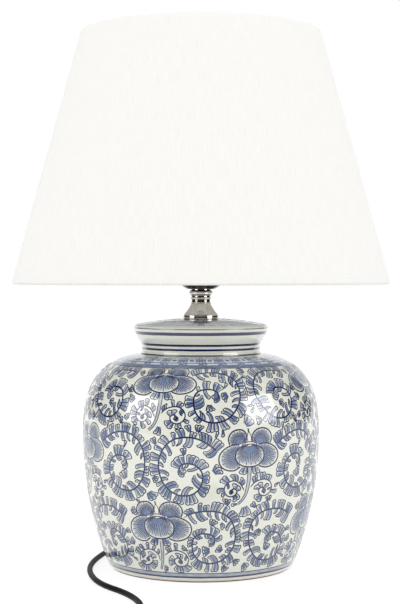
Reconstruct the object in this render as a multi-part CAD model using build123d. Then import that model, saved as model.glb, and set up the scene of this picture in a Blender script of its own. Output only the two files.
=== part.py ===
"""Ginger jar table lamp: ceramic jar and lid, turned metal neck, screw lampholder, tapered
fabric shade on a ring fitter, and a mains lead with a rocker switch, a coil and a flat plug.

Frame: origin at the middle of the foot ring on the table, +Z up, front towards -Y. Millimetres.
"""

from build123d import *
import math
import os

# ---------------------------------------------------------------- driving dimensions
# Jar
FOOT_RADIUS = 85.9          # outside of the foot, where the side curve starts
FOOT_EDGE_HEIGHT = 3.2      # height of the unglazed edge under the side curve
FOOT_EDGE_INSET = 2.6       # how far that edge draws in at the table
BELLY_RADIUS = 109.2
BELLY_HEIGHT = 122.0
SHOULDER_CENTRE = 33.0      # the shoulder is a superellipse quarter about this radius
SHOULDER_RISE = 75.0
SHOULDER_POWER = 2.8
SHOULDER_POINTS = 12
JAR_WALL = 5.5
FLOOR_UNDERSIDE = 29.0
FLOOR_THICKNESS = 6.0
FOOT_RING_WIDTH = 13.0
COVER_REBATE_WIDTH = 4.0
NECK_OUTER_RADIUS = 48.6    # raw neck that the lid goes over
NECK_WALL = 5.0
NECK_HEIGHT = 14.5          # above the lid's seat
SHOULDER_CUT = 165.0        # where the side's piece ends and the shoulder's starts

# Lid
LID_SEAT_RADIUS = 56.8      # outside of the flat ledge on the shoulder
LID_WALL_RADIUS = 54.9
LID_FOOT_FLARE = 0.7
LID_FOOT_HEIGHT = 2.4
LID_STRAIGHT_HEIGHT = 9.4
LID_RIM_RADIUS = 62.4
LID_RIM_HEIGHT = 24.2       # middle of the rounded rim, above the seat
LID_RIM_UNDER = 2.6         # how far the rim reaches under its middle
LID_RIM_OVER = 3.2          # and over it
LID_DOME_RADIUS = 59.2      # where the domed top starts
LID_TOP_HEIGHT = 32.0       # flat middle of the dome, above the seat
LID_TOP_FLAT = 17.5
LID_DOME_SAG = 0.9
LID_TOP_THICKNESS = 6.0
LID_NECK_GAP = 0.8

# Threaded tube that holds it all together, and its fixings
TUBE_RADIUS = 5.0
TUBE_BORE = 4.0
TUBE_LOW = 21.0
TUBE_CLEARANCE = 0.2
PLATE_WASHER_RADIUS = 20.0
PLATE_WASHER_THICKNESS = 2.0
LAMP_NUT_FLATS = 14.0
LAMP_NUT_THICKNESS = 4.0

# Bottom cover
COVER_THICKNESS = 2.5
COVER_GAP = 0.4             # round its edge
FELT_THICKNESS = 0.7
FELT_LIFT = 0.3             # above the table

# Turned metal neck, from the lid upwards
SOFT_WASHER_RADIUS = 14.5
SOFT_WASHER_THICKNESS = 0.8
BELL_RADIUS = 16.1
BELL_BAND_HEIGHT = 3.0
BELL_HEIGHT = 13.4
BELL_TOP_RADIUS = 9.4
BELL_WAIST_SAG = 1.3        # how far the flare is hollowed from a straight cone
BELL_WALL = 1.4
SPINDLE_HEIGHT = 7.6
SPINDLE_RADIUS = 9.6        # of its foot rim and its bead
SPINDLE_BAND_RADIUS = 8.8   # of the plain bands between them
SPINDLE_RIM_HEIGHT = 1.5
SPINDLE_BEAD_LOW = 4.0      # above its foot
SPINDLE_BEAD_HEIGHT = 2.2
COLLAR_HEIGHT = 6.0
COLLAR_RADIUS = 10.9
COLLAR_TOP_RADIUS = 8.9
COLLAR_FOOT_RADIUS = 9.6

# Lampholder
HOLDER_CAP_FOOT_RADIUS = 12.2
HOLDER_RADIUS = 20.4
HOLDER_CAP_FLARE_HEIGHT = 6.6
HOLDER_CAP_HEIGHT = 17.0
HOLDER_WALL = 1.8
LOCK_NUT_THICKNESS = 3.0
TUBE_ABOVE_CAP = 9.0        # how far the tube reaches into the cap
SKIRT_RADIUS = 19.5         # outside thread for the shade rings
SKIRT_HEIGHT = 34.0
SKIRT_WALL = 2.2
SKIRT_LIP = 2.0
INSERT_RADIUS = 16.4
INSERT_HEIGHT = 15.0
INSERT_LOW = 11.0           # above the holder's foot
TERMINAL_SPREAD = 9.5
TERMINAL_BLOCK = (4.6, 6.0, 6.4)
TERMINAL_SCREW_RADIUS = 1.5
TERMINAL_SCREW_REACH = 1.2
TERMINAL_GAP = 0.5
SCREW_SHELL_BORE = 13.5
SCREW_SHELL_WALL = 0.6
SCREW_SHELL_HEIGHT = 22.0
CONTACT_WIDTH = 5.0
CONTACT_THICKNESS = 0.6
CONTACT_RISE = 2.0

# Shade rings and shade
SHADE_RING_CLEARANCE = 0.15
SHADE_RING_HUB = 22.6
SHADE_RING_FLANGE = 27.0
SHADE_RING_FLANGE_THICKNESS = 2.2
SHADE_RING_HEIGHT = 7.5
SHADE_RING_NOTCHES = 12
SHADE_RING_NOTCH_RADIUS = 1.2
SEAT_HEIGHT = 30.4          # top of the lower shade ring, above the holder's foot
BODY_GAP = 0.25             # between pieces that move apart
FITTER_BORE = 20.6
FITTER_RADIUS = 28.5
FITTER_THICKNESS = 2.0
SHADE_LOW = 261.2
SHADE_HEIGHT = 233.3
SHADE_LOW_RADIUS = 175.0
SHADE_TOP_RADIUS = 111.5
CLOTH_THICKNESS = 0.6
LINER_THICKNESS = 0.8
LAYER_GAP = 0.05
EDGE_WIRE_RADIUS = 1.3
HEM_HEIGHT = 9.0
ARM_RADIUS = 1.5
ARM_COUNT = 3
ARM_LEVEL_REACH = 16.0      # level stretch beside the fitter ring

# Bulb
BULB_CAP_RADIUS = 13.1
BULB_CAP_HEIGHT = 19.5
BULB_TIP_RADIUS = 4.6
BULB_TIP_HEIGHT = 1.6
BULB_CONE_HEIGHT = 3.4
BULB_GLASS_RADIUS = 30.0
BULB_LENGTH = 105.0
BULB_NECK_RADIUS = 13.9
BULB_SKIRT = 1.6            # straight stretch of glass above the cap
BULB_TOUCH = -38.0          # where the neck's curve meets the globe, in degrees
BULB_NECK_SAG = 1.6

# Mains lead
LEAD_RADIUS = 2.5
LEAD_REST = 2.6             # height of its middle on the table
EXIT_HEIGHT = 8.5
ENTRY_BEND = 11.0           # bend under the tube
BUSHING_FLANGE_RADIUS = 6.4
BUSHING_FLANGE_THICKNESS = 2.4
BUSHING_SHANK_RADIUS = 4.4
BUSHING_TAPER_START = 5.0
BUSHING_TAPER_END = 3.3
BUSHING_GROOVES = 4
BUSHING_GROOVE_DEPTH = 0.7
BORE_CLEARANCE = 0.1
SPOT_FACE_DEPTH = 1.2

# Coil
COIL_X = 136.0
COIL_Y = -268.0
COIL_OUTER = 34.5           # middle line of the outermost half turn
COIL_GAP = 0.5              # between neighbouring turns
COIL_HALF_TURNS = 5         # in each of its two layers
TIE_THICKNESS = 0.6
TIE_WIDTH = 4.0
TIE_CLEARANCE = 0.5
TIE_LIFT = 0.1              # above the table

# Rocker switch on the lead
SWITCH_X = 43.0
SWITCH_Y = -292.0
SWITCH_LENGTH = 62.0
SWITCH_WIDTH = 27.0
SWITCH_HEIGHT = 16.6
SWITCH_LIFT = 0.3
SWITCH_SPLIT = 8.0
SWITCH_CORNER = 8.0
SWITCH_EDGE = 2.2
SWITCH_WALL = 1.9
ROCKER_LENGTH = 18.6
ROCKER_WIDTH = 10.0
ROCKER_PIVOT_HEIGHT = 12.4
ROCKER_TOP = 5.0
ROCKER_DIP = 1.4
ROCKER_UNDER = 2.6
ROCKER_TILT = 7.0
ROCKER_PIN_RADIUS = 1.5
ROCKER_PIN_REACH = 1.6
ROCKER_PIN_CLEARANCE = 0.06
ROCKER_SIDE_GAP = 0.4
ROCKER_END_GAP = 0.9
CHEEK_THICKNESS = 2.0
CHEEK_LENGTH = 6.4
SWITCH_SCREW_X = 21.0
SWITCH_SCREW_Y = 8.2
SWITCH_SCREW_RADIUS = 1.3
SWITCH_SCREW_HEAD = 2.5
SWITCH_POST_RADIUS = 2.9

# Flat two-pin plug
PLUG_X = 55.0               # where the lead enters its boot
PLUG_Y = -255.0
PLUG_LIFT = 0.2
PLUG_FACE_WIDTH = 35.3
PLUG_FACE_HEIGHT = 13.7
PLUG_BODY_LENGTH = 33.0
PLUG_WAIST_WIDTH = 27.0
PLUG_WAIST_HEIGHT = 12.6
PLUG_TAIL_WIDTH = 12.0
PLUG_TAIL_HEIGHT = 10.0
PLUG_BOOT_LENGTH = 22.0
PLUG_BOOT_START = 4.4
PIN_LENGTH = 19.0
PIN_RADIUS = 2.0
PIN_CORE = 1.4
PIN_SPACING = 18.6
PIN_SLEEVE_LENGTH = 10.0
PIN_SEAT = 6.0

# Route of the lead on the table, chosen by hand: from the bushing to the switch,
# from the switch to the coil and from the coil to the plug.
EXIT_Y = 110.6
COIL_REST = TIE_LIFT + TIE_THICKNESS + TIE_CLEARANCE + LEAD_RADIUS
COIL_PITCH = 2 * LEAD_RADIUS + COIL_GAP
SWITCH_IN = (SWITCH_X - SWITCH_LENGTH / 2, SWITCH_Y, SWITCH_SPLIT)
SWITCH_OUT = (SWITCH_X + SWITCH_LENGTH / 2, SWITCH_Y, SWITCH_SPLIT)
ROUTE_TO_SWITCH = [
    (0, EXIT_Y, EXIT_HEIGHT),
    (0, 133, EXIT_HEIGHT),
    (-10, 156, 5.2),
    (-36, 166, LEAD_REST),
    (-63, 152, LEAD_REST),
    (-79, 118, LEAD_REST),
    (-83, 72, LEAD_REST),
    (-96, 24, LEAD_REST),
    (-102, -18, LEAD_REST),
    (-99, -60, LEAD_REST),
    (-87, -102, LEAD_REST),
    (-60, -140, LEAD_REST),
    (-46, -184, LEAD_REST),
    (-50, -232, LEAD_REST),
    (-36, -272, LEAD_REST),
    (-7, -292, SWITCH_SPLIT),
    SWITCH_IN,
]
ROUTE_TO_COIL = [
    SWITCH_OUT,
    (93, SWITCH_Y, SWITCH_SPLIT),
    (113, COIL_Y - COIL_OUTER, COIL_REST),
    (COIL_X - 2 * LEAD_RADIUS, COIL_Y - COIL_OUTER, COIL_REST),
]

# ---------------------------------------------------------------- levels worked out from them
SEAT_Z = 196.0
FLOOR_TOP = FLOOR_UNDERSIDE + FLOOR_THICKNESS
LID_TOP = SEAT_Z + LID_TOP_HEIGHT
BELL_LOW = LID_TOP + SOFT_WASHER_THICKNESS
SPINDLE_LOW = BELL_LOW + BELL_HEIGHT
COLLAR_LOW = SPINDLE_LOW + SPINDLE_HEIGHT
HOLDER_LOW = COLLAR_LOW + COLLAR_HEIGHT
SKIRT_LOW = HOLDER_LOW + HOLDER_CAP_HEIGHT
SKIRT_TOP = SKIRT_LOW + SKIRT_HEIGHT
INSERT_Z = HOLDER_LOW + INSERT_LOW
INSERT_TOP = INSERT_Z + INSERT_HEIGHT
TUBE_TOP = HOLDER_LOW + TUBE_ABOVE_CAP
SEAT_TOP = HOLDER_LOW + SEAT_HEIGHT
FITTER_LOW = SEAT_TOP + BODY_GAP
CLAMP_LOW = FITTER_LOW + FITTER_THICKNESS + BODY_GAP
CONTACT_TOP = INSERT_TOP + CONTACT_RISE
BULB_LOW = CONTACT_TOP + BODY_GAP
TUBE_HOLE = TUBE_RADIUS + TUBE_CLEARANCE


# ---------------------------------------------------------------- helpers
def lathe(*lines):
    """Solid of revolution about Z of a closed outline given as (radius, height) lines."""
    edges = [edge for line in lines for edge in line.edges()]
    return revolve(Plane.XZ * make_face(edges), Axis.Z)


def ring(outer, inner, low, height):
    """Plain washer or tube about Z."""
    return Pos(0, 0, low) * extrude(Circle(outer) - Circle(inner), height)


def bow(start, end, sag):
    """Arc from start to end that stands sag to the left of the straight line between them."""
    (x0, y0), (x1, y1) = start, end
    span = math.hypot(x1 - x0, y1 - y0)
    middle = ((x0 + x1) / 2 - sag * (y1 - y0) / span, (y0 + y1) / 2 + sag * (x1 - x0) / span)
    return ThreePointArc(start, middle, end)


def hexagon_nut(flats, bore, low, thickness):
    return Pos(0, 0, low) * extrude(
        RegularPolygon(flats / 2, 6, major_radius=False) - Circle(bore), thickness
    )


def write(name, shape):
    export_step(shape, os.path.join("parts", name + ".step"))


# ---------------------------------------------------------------- jar and lid
def side_arc_radius():
    draw_in = BELLY_RADIUS - FOOT_RADIUS
    rise = BELLY_HEIGHT - FOOT_EDGE_HEIGHT
    return (draw_in**2 + rise**2) / (2 * draw_in)


def side_radius_at(height, inset=0.0):
    """Outside radius of the jar under its belly, or of a surface inset from it."""
    arc = side_arc_radius()
    drop = BELLY_HEIGHT - height
    return BELLY_RADIUS - arc + math.sqrt((arc - inset) ** 2 - drop**2)


def side_curve(low, inset=0.0):
    """Side of the jar from a height up to the belly, as one arc."""
    middle = (low + BELLY_HEIGHT) / 2
    return ThreePointArc(
        (side_radius_at(low, inset), low),
        (side_radius_at(middle, inset), middle),
        (BELLY_RADIUS - inset, BELLY_HEIGHT),
    )


def shoulder_curve(end_radius, inset=0.0):
    """Shoulder from the belly to a radius: a superellipse, evenly cut by angle."""
    across = BELLY_RADIUS - SHOULDER_CENTRE - inset
    rise = SHOULDER_RISE - inset
    end_share = (end_radius - SHOULDER_CENTRE) / across
    end_angle = math.acos(end_share ** (SHOULDER_POWER / 2))
    points = []
    for step in range(SHOULDER_POINTS + 1):
        angle = end_angle * step / SHOULDER_POINTS
        points.append(
            (
                SHOULDER_CENTRE + across * math.cos(angle) ** (2 / SHOULDER_POWER),
                BELLY_HEIGHT + rise * math.sin(angle) ** (2 / SHOULDER_POWER),
            )
        )
    return Spline(*points), points[-1]


def make_jar():
    shoulder, shoulder_end = shoulder_curve(LID_SEAT_RADIUS)
    neck_top = SEAT_Z + NECK_HEIGHT
    outer = lathe(
        Polyline(
            (0, 0), (FOOT_RADIUS - FOOT_EDGE_INSET, 0), (FOOT_RADIUS, FOOT_EDGE_HEIGHT)
        ),
        side_curve(FOOT_EDGE_HEIGHT),
        shoulder,
        Polyline(
            shoulder_end,
            (LID_SEAT_RADIUS, SEAT_Z),
            (NECK_OUTER_RADIUS, SEAT_Z),
            (NECK_OUTER_RADIUS, neck_top),
            (0, neck_top),
            (0, 0),
        ),
    )
    neck_bore = NECK_OUTER_RADIUS - NECK_WALL
    inner_shoulder, inner_end = shoulder_curve(neck_bore, JAR_WALL)
    hollow = lathe(
        Line((0, FLOOR_TOP), (side_radius_at(FLOOR_TOP, JAR_WALL), FLOOR_TOP)),
        side_curve(FLOOR_TOP, JAR_WALL),
        inner_shoulder,
        Polyline(inner_end, (neck_bore, neck_top), (0, neck_top), (0, FLOOR_TOP)),
    )
    recess_radius = FOOT_RADIUS - FOOT_RING_WIDTH
    recess = Cylinder(recess_radius, FLOOR_UNDERSIDE, align=(Align.CENTER, Align.CENTER, Align.MIN))
    cover_depth = FELT_LIFT + FELT_THICKNESS + COVER_THICKNESS
    rebate = Cylinder(
        recess_radius + COVER_REBATE_WIDTH, cover_depth, align=(Align.CENTER, Align.CENTER, Align.MIN)
    )
    tube_hole = Cylinder(TUBE_HOLE, FLOOR_TOP, align=(Align.CENTER, Align.CENTER, Align.MIN))
    jar = outer - hollow - recess - rebate - tube_hole
    return jar - lead_hole()


def jar_slices(jar):
    """The jar, fired in one piece, as simple stacked pieces by name."""
    neck_top = SEAT_Z + NECK_HEIGHT
    levels = {
        "jar_foot": (0, FLOOR_UNDERSIDE),
        "jar_floor": (FLOOR_UNDERSIDE, FLOOR_TOP),
        "jar": (FLOOR_TOP, SHOULDER_CUT),
        "jar_shoulder": (SHOULDER_CUT, SEAT_Z),
        "jar_neck": (SEAT_Z, neck_top),
    }
    across = 3 * BELLY_RADIUS
    return {
        name: jar & (Pos(0, 0, (low + high) / 2) * Box(across, across, high - low))
        for name, (low, high) in levels.items()
    }


def lead_hole():
    """Hole through the foot for the bushing, with a flat spot for its flange."""
    facing = Plane(origin=(0, 0, EXIT_HEIGHT), x_dir=(1, 0, 0), z_dir=(0, 1, 0))
    through = facing * extrude(Circle(BUSHING_SHANK_RADIUS + BORE_CLEARANCE), EXIT_Y)
    spot = facing.offset(bushing_seat_y()) * extrude(Circle(BUSHING_FLANGE_RADIUS + 0.6), EXIT_Y)
    return through + spot


def bushing_seat_y():
    return side_radius_at(EXIT_HEIGHT) - SPOT_FACE_DEPTH


def make_lid():
    rim_z = SEAT_Z + LID_RIM_HEIGHT
    dome_z = rim_z + LID_RIM_OVER
    under_rim = (LID_RIM_RADIUS - 0.9, rim_z - LID_RIM_UNDER)
    straight_top = (LID_WALL_RADIUS, SEAT_Z + LID_STRAIGHT_HEIGHT)
    outer = lathe(
        Line((0, SEAT_Z), (LID_WALL_RADIUS + LID_FOOT_FLARE, SEAT_Z)),
        bow(
            (LID_WALL_RADIUS + LID_FOOT_FLARE, SEAT_Z),
            (LID_WALL_RADIUS, SEAT_Z + LID_FOOT_HEIGHT),
            -0.15,
        ),
        Line((LID_WALL_RADIUS, SEAT_Z + LID_FOOT_HEIGHT), straight_top),
        bow(straight_top, under_rim, -1.1),
        ThreePointArc(under_rim, (LID_RIM_RADIUS, rim_z), (LID_DOME_RADIUS, dome_z)),
        bow((LID_DOME_RADIUS, dome_z), (LID_TOP_FLAT, LID_TOP), -LID_DOME_SAG),
        Polyline((LID_TOP_FLAT, LID_TOP), (0, LID_TOP), (0, SEAT_Z)),
    )
    bore = NECK_OUTER_RADIUS + LID_NECK_GAP
    roof = dome_z - LID_TOP_THICKNESS
    hollow = lathe(
        Polyline((0, SEAT_Z), (bore, SEAT_Z), (bore, roof)),
        bow((bore, roof), (LID_TOP_FLAT, LID_TOP - LID_TOP_THICKNESS), -LID_DOME_SAG),
        Polyline(
            (LID_TOP_FLAT, LID_TOP - LID_TOP_THICKNESS), (0, LID_TOP - LID_TOP_THICKNESS), (0, SEAT_Z)
        ),
    )
    return outer - hollow - Pos(0, 0, LID_TOP) * Cylinder(TUBE_HOLE, 4 * LID_TOP_THICKNESS)


# ---------------------------------------------------------------- fixings under the jar
def make_bottom_cover():
    radius = FOOT_RADIUS - FOOT_RING_WIDTH + COVER_REBATE_WIDTH - COVER_GAP
    low = FELT_LIFT + FELT_THICKNESS
    cover = Pos(0, 0, low) * extrude(Circle(radius), COVER_THICKNESS)
    felt = Pos(0, 0, FELT_LIFT) * extrude(Circle(radius), FELT_THICKNESS)
    return cover, felt


def make_tube():
    return ring(TUBE_RADIUS, TUBE_BORE, TUBE_LOW, TUBE_TOP - TUBE_LOW)


def make_floor_fixings():
    washer_low = FLOOR_UNDERSIDE - PLATE_WASHER_THICKNESS
    washer = ring(PLATE_WASHER_RADIUS, TUBE_HOLE, washer_low, PLATE_WASHER_THICKNESS)
    nut = hexagon_nut(
        LAMP_NUT_FLATS, TUBE_RADIUS, washer_low - LAMP_NUT_THICKNESS, LAMP_NUT_THICKNESS
    )
    return washer, nut


# ---------------------------------------------------------------- turned metal neck
def make_soft_washer():
    return ring(SOFT_WASHER_RADIUS, TUBE_HOLE, LID_TOP, SOFT_WASHER_THICKNESS)


def make_bell():
    band_top = BELL_LOW + BELL_BAND_HEIGHT
    top = BELL_LOW + BELL_HEIGHT
    edge = 0.5
    outer = lathe(
        Polyline(
            (0, BELL_LOW),
            (BELL_RADIUS - edge, BELL_LOW),
            (BELL_RADIUS, BELL_LOW + edge),
            (BELL_RADIUS, band_top - edge),
            (BELL_RADIUS - edge, band_top),
        ),
        bow((BELL_RADIUS - edge, band_top), (BELL_TOP_RADIUS, top), BELL_WAIST_SAG),
        Polyline((BELL_TOP_RADIUS, top), (0, top), (0, BELL_LOW)),
    )
    cup_radius = BELL_RADIUS - BELL_WALL
    cup_top = BELL_TOP_RADIUS - BELL_WALL
    hollow = lathe(
        Polyline((0, BELL_LOW), (cup_radius, BELL_LOW), (cup_radius, band_top - BELL_WALL)),
        bow((cup_radius, band_top - BELL_WALL), (cup_top, top - BELL_WALL), BELL_WAIST_SAG),
        Polyline((cup_top, top - BELL_WALL), (0, top - BELL_WALL), (0, BELL_LOW)),
    )
    return outer - hollow - Pos(0, 0, top) * Cylinder(TUBE_HOLE, 4 * BELL_WALL)


def make_spindle():
    """Short turned spacer: a rounded foot rim, and a bead between two plain bands."""
    rim_top = SPINDLE_LOW + SPINDLE_RIM_HEIGHT
    bead_low = SPINDLE_LOW + SPINDLE_BEAD_LOW
    bead_top = bead_low + SPINDLE_BEAD_HEIGHT
    band = SPINDLE_BAND_RADIUS
    return lathe(
        Line((TUBE_HOLE, SPINDLE_LOW), (band, SPINDLE_LOW)),
        ThreePointArc((band, SPINDLE_LOW), (SPINDLE_RADIUS, (SPINDLE_LOW + rim_top) / 2), (band, rim_top)),
        Line((band, rim_top), (band, bead_low)),
        ThreePointArc((band, bead_low), (SPINDLE_RADIUS, (bead_low + bead_top) / 2), (band, bead_top)),
        Polyline(
            (band, bead_top), (band, COLLAR_LOW), (TUBE_HOLE, COLLAR_LOW), (TUBE_HOLE, SPINDLE_LOW)
        ),
    )


def make_collar():
    widest = COLLAR_LOW + 0.4 * COLLAR_HEIGHT
    stub = COLLAR_LOW + 0.88 * COLLAR_HEIGHT
    return lathe(
        Line((TUBE_HOLE, COLLAR_LOW), (COLLAR_FOOT_RADIUS, COLLAR_LOW)),
        ThreePointArc((COLLAR_FOOT_RADIUS, COLLAR_LOW), (COLLAR_RADIUS, widest), (COLLAR_TOP_RADIUS, stub)),
        Polyline(
            (COLLAR_TOP_RADIUS, stub),
            (COLLAR_TOP_RADIUS, HOLDER_LOW),
            (TUBE_HOLE, HOLDER_LOW),
            (TUBE_HOLE, COLLAR_LOW),
        ),
    )


# ---------------------------------------------------------------- lampholder
def make_holder_cap():
    flare_top = HOLDER_LOW + HOLDER_CAP_FLARE_HEIGHT
    inner = HOLDER_RADIUS - HOLDER_WALL
    inner_foot = HOLDER_CAP_FOOT_RADIUS - HOLDER_WALL
    return lathe(
        Line((TUBE_HOLE, HOLDER_LOW), (HOLDER_CAP_FOOT_RADIUS, HOLDER_LOW)),
        bow((HOLDER_CAP_FOOT_RADIUS, HOLDER_LOW), (HOLDER_RADIUS, flare_top), -0.8),
        Polyline(
            (HOLDER_RADIUS, flare_top),
            (HOLDER_RADIUS, SKIRT_LOW),
            (inner, SKIRT_LOW),
            (inner, flare_top),
            (inner_foot, HOLDER_LOW + HOLDER_WALL),
            (TUBE_HOLE, HOLDER_LOW + HOLDER_WALL),
            (TUBE_HOLE, HOLDER_LOW),
        ),
    )


def make_lock_nut():
    return hexagon_nut(
        LAMP_NUT_FLATS, TUBE_RADIUS, HOLDER_LOW + HOLDER_WALL, LOCK_NUT_THICKNESS
    )


def make_holder_skirt():
    """Outer shell with the shade rings' thread, closed in at its mouth by a lip."""
    lip_bore = SCREW_SHELL_BORE + SCREW_SHELL_WALL + BODY_GAP
    inner = SKIRT_RADIUS - SKIRT_WALL
    return lathe(
        Polyline(
            (inner, SKIRT_LOW),
            (HOLDER_RADIUS, SKIRT_LOW),
            (HOLDER_RADIUS, SKIRT_LOW + 2 * HOLDER_WALL),
            (SKIRT_RADIUS, SKIRT_LOW + 2 * HOLDER_WALL),
            (SKIRT_RADIUS, SKIRT_TOP - 1),
            (SKIRT_RADIUS - 1, SKIRT_TOP),
            (lip_bore, SKIRT_TOP),
            (lip_bore, SKIRT_TOP - SKIRT_LIP),
            (inner, SKIRT_TOP - SKIRT_LIP),
            (inner, SKIRT_LOW),
        )
    )


def make_insert():
    """Insulating block with two terminal pockets and a hole for the end of the lead."""
    block = Pos(0, 0, INSERT_Z) * extrude(Circle(INSERT_RADIUS), INSERT_HEIGHT)
    width, depth, height = TERMINAL_BLOCK
    pocket = Box(
        width + 2 * TERMINAL_GAP,
        depth + 2 * (TERMINAL_SCREW_REACH + TERMINAL_GAP),
        2 * height,
    )
    for side in (-1, 1):
        block -= Pos(side * TERMINAL_SPREAD, 0, INSERT_Z) * pocket
    return block - Pos(0, 0, INSERT_Z) * Cylinder(LEAD_RADIUS + TERMINAL_GAP, 2 * height)


def make_terminals():
    """Two clamp blocks, each with its screw, seated on the roof of the insert's pockets."""
    width, depth, height = TERMINAL_BLOCK
    middle = INSERT_Z + height / 2
    blocks = []
    for side in (-1, 1):
        block = Pos(side * TERMINAL_SPREAD, 0, middle) * Box(width, depth, height)
        screw = Plane(
            origin=(side * TERMINAL_SPREAD, -depth / 2, middle), x_dir=(1, 0, 0), z_dir=(0, -1, 0)
        ) * extrude(Circle(TERMINAL_SCREW_RADIUS), TERMINAL_SCREW_REACH)
        blocks.append(block + screw)
    return Compound(children=blocks)


def make_contact_leaf():
    """Springy strip, fixed at one end and bent up to the middle."""
    foot = INSERT_TOP
    profile = Polyline(
        (-9.0, foot),
        (-5.0, foot),
        (-1.5, CONTACT_TOP - CONTACT_THICKNESS),
        (3.0, CONTACT_TOP - CONTACT_THICKNESS),
        (3.0, CONTACT_TOP),
        (-2.0, CONTACT_TOP),
        (-5.4, foot + CONTACT_THICKNESS),
        (-9.0, foot + CONTACT_THICKNESS),
        (-9.0, foot),
    )
    return extrude(Plane.XZ * make_face(profile.edges()), CONTACT_WIDTH / 2, both=True)


def make_screw_shell():
    """Open threaded socket, with a seating flange on the insert."""
    outer = SCREW_SHELL_BORE + SCREW_SHELL_WALL
    low = INSERT_TOP
    tube = ring(outer, SCREW_SHELL_BORE, low, SCREW_SHELL_HEIGHT)
    flange = ring(INSERT_RADIUS - 0.6, SCREW_SHELL_BORE, low, SCREW_SHELL_WALL)
    return tube + flange


def make_shade_ring(low, flange_at_top):
    """Threaded ring with a flange and a notched grip."""
    bore = SKIRT_RADIUS + SHADE_RING_CLEARANCE
    hub = ring(SHADE_RING_HUB, bore, low, SHADE_RING_HEIGHT)
    flange_low = low + (SHADE_RING_HEIGHT - SHADE_RING_FLANGE_THICKNESS if flange_at_top else 0)
    flange = ring(SHADE_RING_FLANGE, bore, flange_low, SHADE_RING_FLANGE_THICKNESS)
    notch = Pos(SHADE_RING_FLANGE, 0, low + SHADE_RING_HEIGHT / 2) * Cylinder(
        SHADE_RING_NOTCH_RADIUS, 2 * SHADE_RING_HEIGHT
    )
    shape = hub + flange
    for index in range(SHADE_RING_NOTCHES):
        shape -= Rot(0, 0, 360 * index / SHADE_RING_NOTCHES) * notch
    return shape


# ---------------------------------------------------------------- shade
def shade_slope():
    """Unit direction up the shade's side, as (radius, height)."""
    run = SHADE_TOP_RADIUS - SHADE_LOW_RADIUS
    slant = math.hypot(run, SHADE_HEIGHT)
    return run / slant, SHADE_HEIGHT / slant


def shade_point(along, depth):
    """(radius, height) at a distance up the side from the bottom edge and a depth inside it."""
    out, up = shade_slope()
    return SHADE_LOW_RADIUS + along * out - depth * up, SHADE_LOW + along * up + depth * out


def shade_strip(start, end, outer_depth, inner_depth):
    """Flat strip of the side's section, between two distances up it."""
    corners = [
        shade_point(start, outer_depth),
        shade_point(end, outer_depth),
        shade_point(end, inner_depth),
        shade_point(start, inner_depth),
    ]
    return make_face(Polyline(*corners, corners[0]).edges())


def slant_height():
    return math.hypot(SHADE_TOP_RADIUS - SHADE_LOW_RADIUS, SHADE_HEIGHT)


BEAD_RADIUS = EDGE_WIRE_RADIUS + LAYER_GAP + CLOTH_THICKNESS
LINER_DEPTH = CLOTH_THICKNESS + LAYER_GAP
FOLD_DEPTH = LINER_DEPTH + LINER_THICKNESS + LAYER_GAP
LINER_START = 2 * BEAD_RADIUS + 0.6


def make_shade_cloth():
    """Outer cloth, rolled round the wire at each edge and turned up inside the liner."""
    end = slant_height()
    section = shade_strip(BEAD_RADIUS, end - BEAD_RADIUS, 0, CLOTH_THICKNESS)
    for wire_at, towards in ((BEAD_RADIUS, 1), (end - BEAD_RADIUS, -1)):
        middle = Pos(*shade_point(wire_at, BEAD_RADIUS))
        bead = middle * (Circle(BEAD_RADIUS) - Circle(BEAD_RADIUS - CLOTH_THICKNESS))
        near = wire_at + towards * (BEAD_RADIUS - CLOTH_THICKNESS / 2)
        far = wire_at + towards * HEM_HEIGHT
        step = wire_at + towards * (LINER_START - BEAD_RADIUS + 0.4)
        fold = shade_strip(min(step, far), max(step, far), FOLD_DEPTH, FOLD_DEPTH + CLOTH_THICKNESS)
        bridge_points = [
            shade_point(near, BEAD_RADIUS - 0.1),
            shade_point(near, BEAD_RADIUS + CLOTH_THICKNESS),
            shade_point(step, FOLD_DEPTH + CLOTH_THICKNESS),
            shade_point(step, FOLD_DEPTH),
        ]
        bridge = make_face(Polyline(*bridge_points, bridge_points[0]).edges())
        section = section + bead + bridge + fold
    return revolve(Plane.XZ * section, Axis.Z)


def make_shade_liner():
    end = slant_height()
    strip = shade_strip(LINER_START, end - LINER_START, LINER_DEPTH, LINER_DEPTH + LINER_THICKNESS)
    return revolve(Plane.XZ * strip, Axis.Z)


def edge_wire(along):
    radius, height = shade_point(along, BEAD_RADIUS)
    return Pos(0, 0, height) * Torus(radius, EDGE_WIRE_RADIUS)


def arm_path():
    """One arm in its own XZ plane: level beside the fitter ring, then down to the lower wire."""
    wire_radius, wire_height = shade_point(BEAD_RADIUS, BEAD_RADIUS)
    level = FITTER_LOW + FITTER_THICKNESS / 2
    start = (FITTER_RADIUS - 1.0, 0, level)
    knee = (FITTER_RADIUS + ARM_LEVEL_REACH, 0, level)
    end = (wire_radius - 0.2, 0, wire_height)
    return FilletPolyline(start, knee, end, radius=12)


def make_arm(radius):
    path = arm_path()
    section = Plane(origin=path @ 0, z_dir=path % 0) * Circle(radius)
    return sweep(section, path=path)


def arms(radius):
    arm = make_arm(radius)
    return [Rot(0, 0, 90 + 360 * index / ARM_COUNT) * arm for index in range(ARM_COUNT)]


def make_spider():
    """Fitter ring, three arms and the lower edge wire, welded into one frame."""
    frame = ring(FITTER_RADIUS, FITTER_BORE, FITTER_LOW, FITTER_THICKNESS)
    frame += edge_wire(BEAD_RADIUS)
    for arm in arms(ARM_RADIUS):
        frame += arm
    return frame


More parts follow.
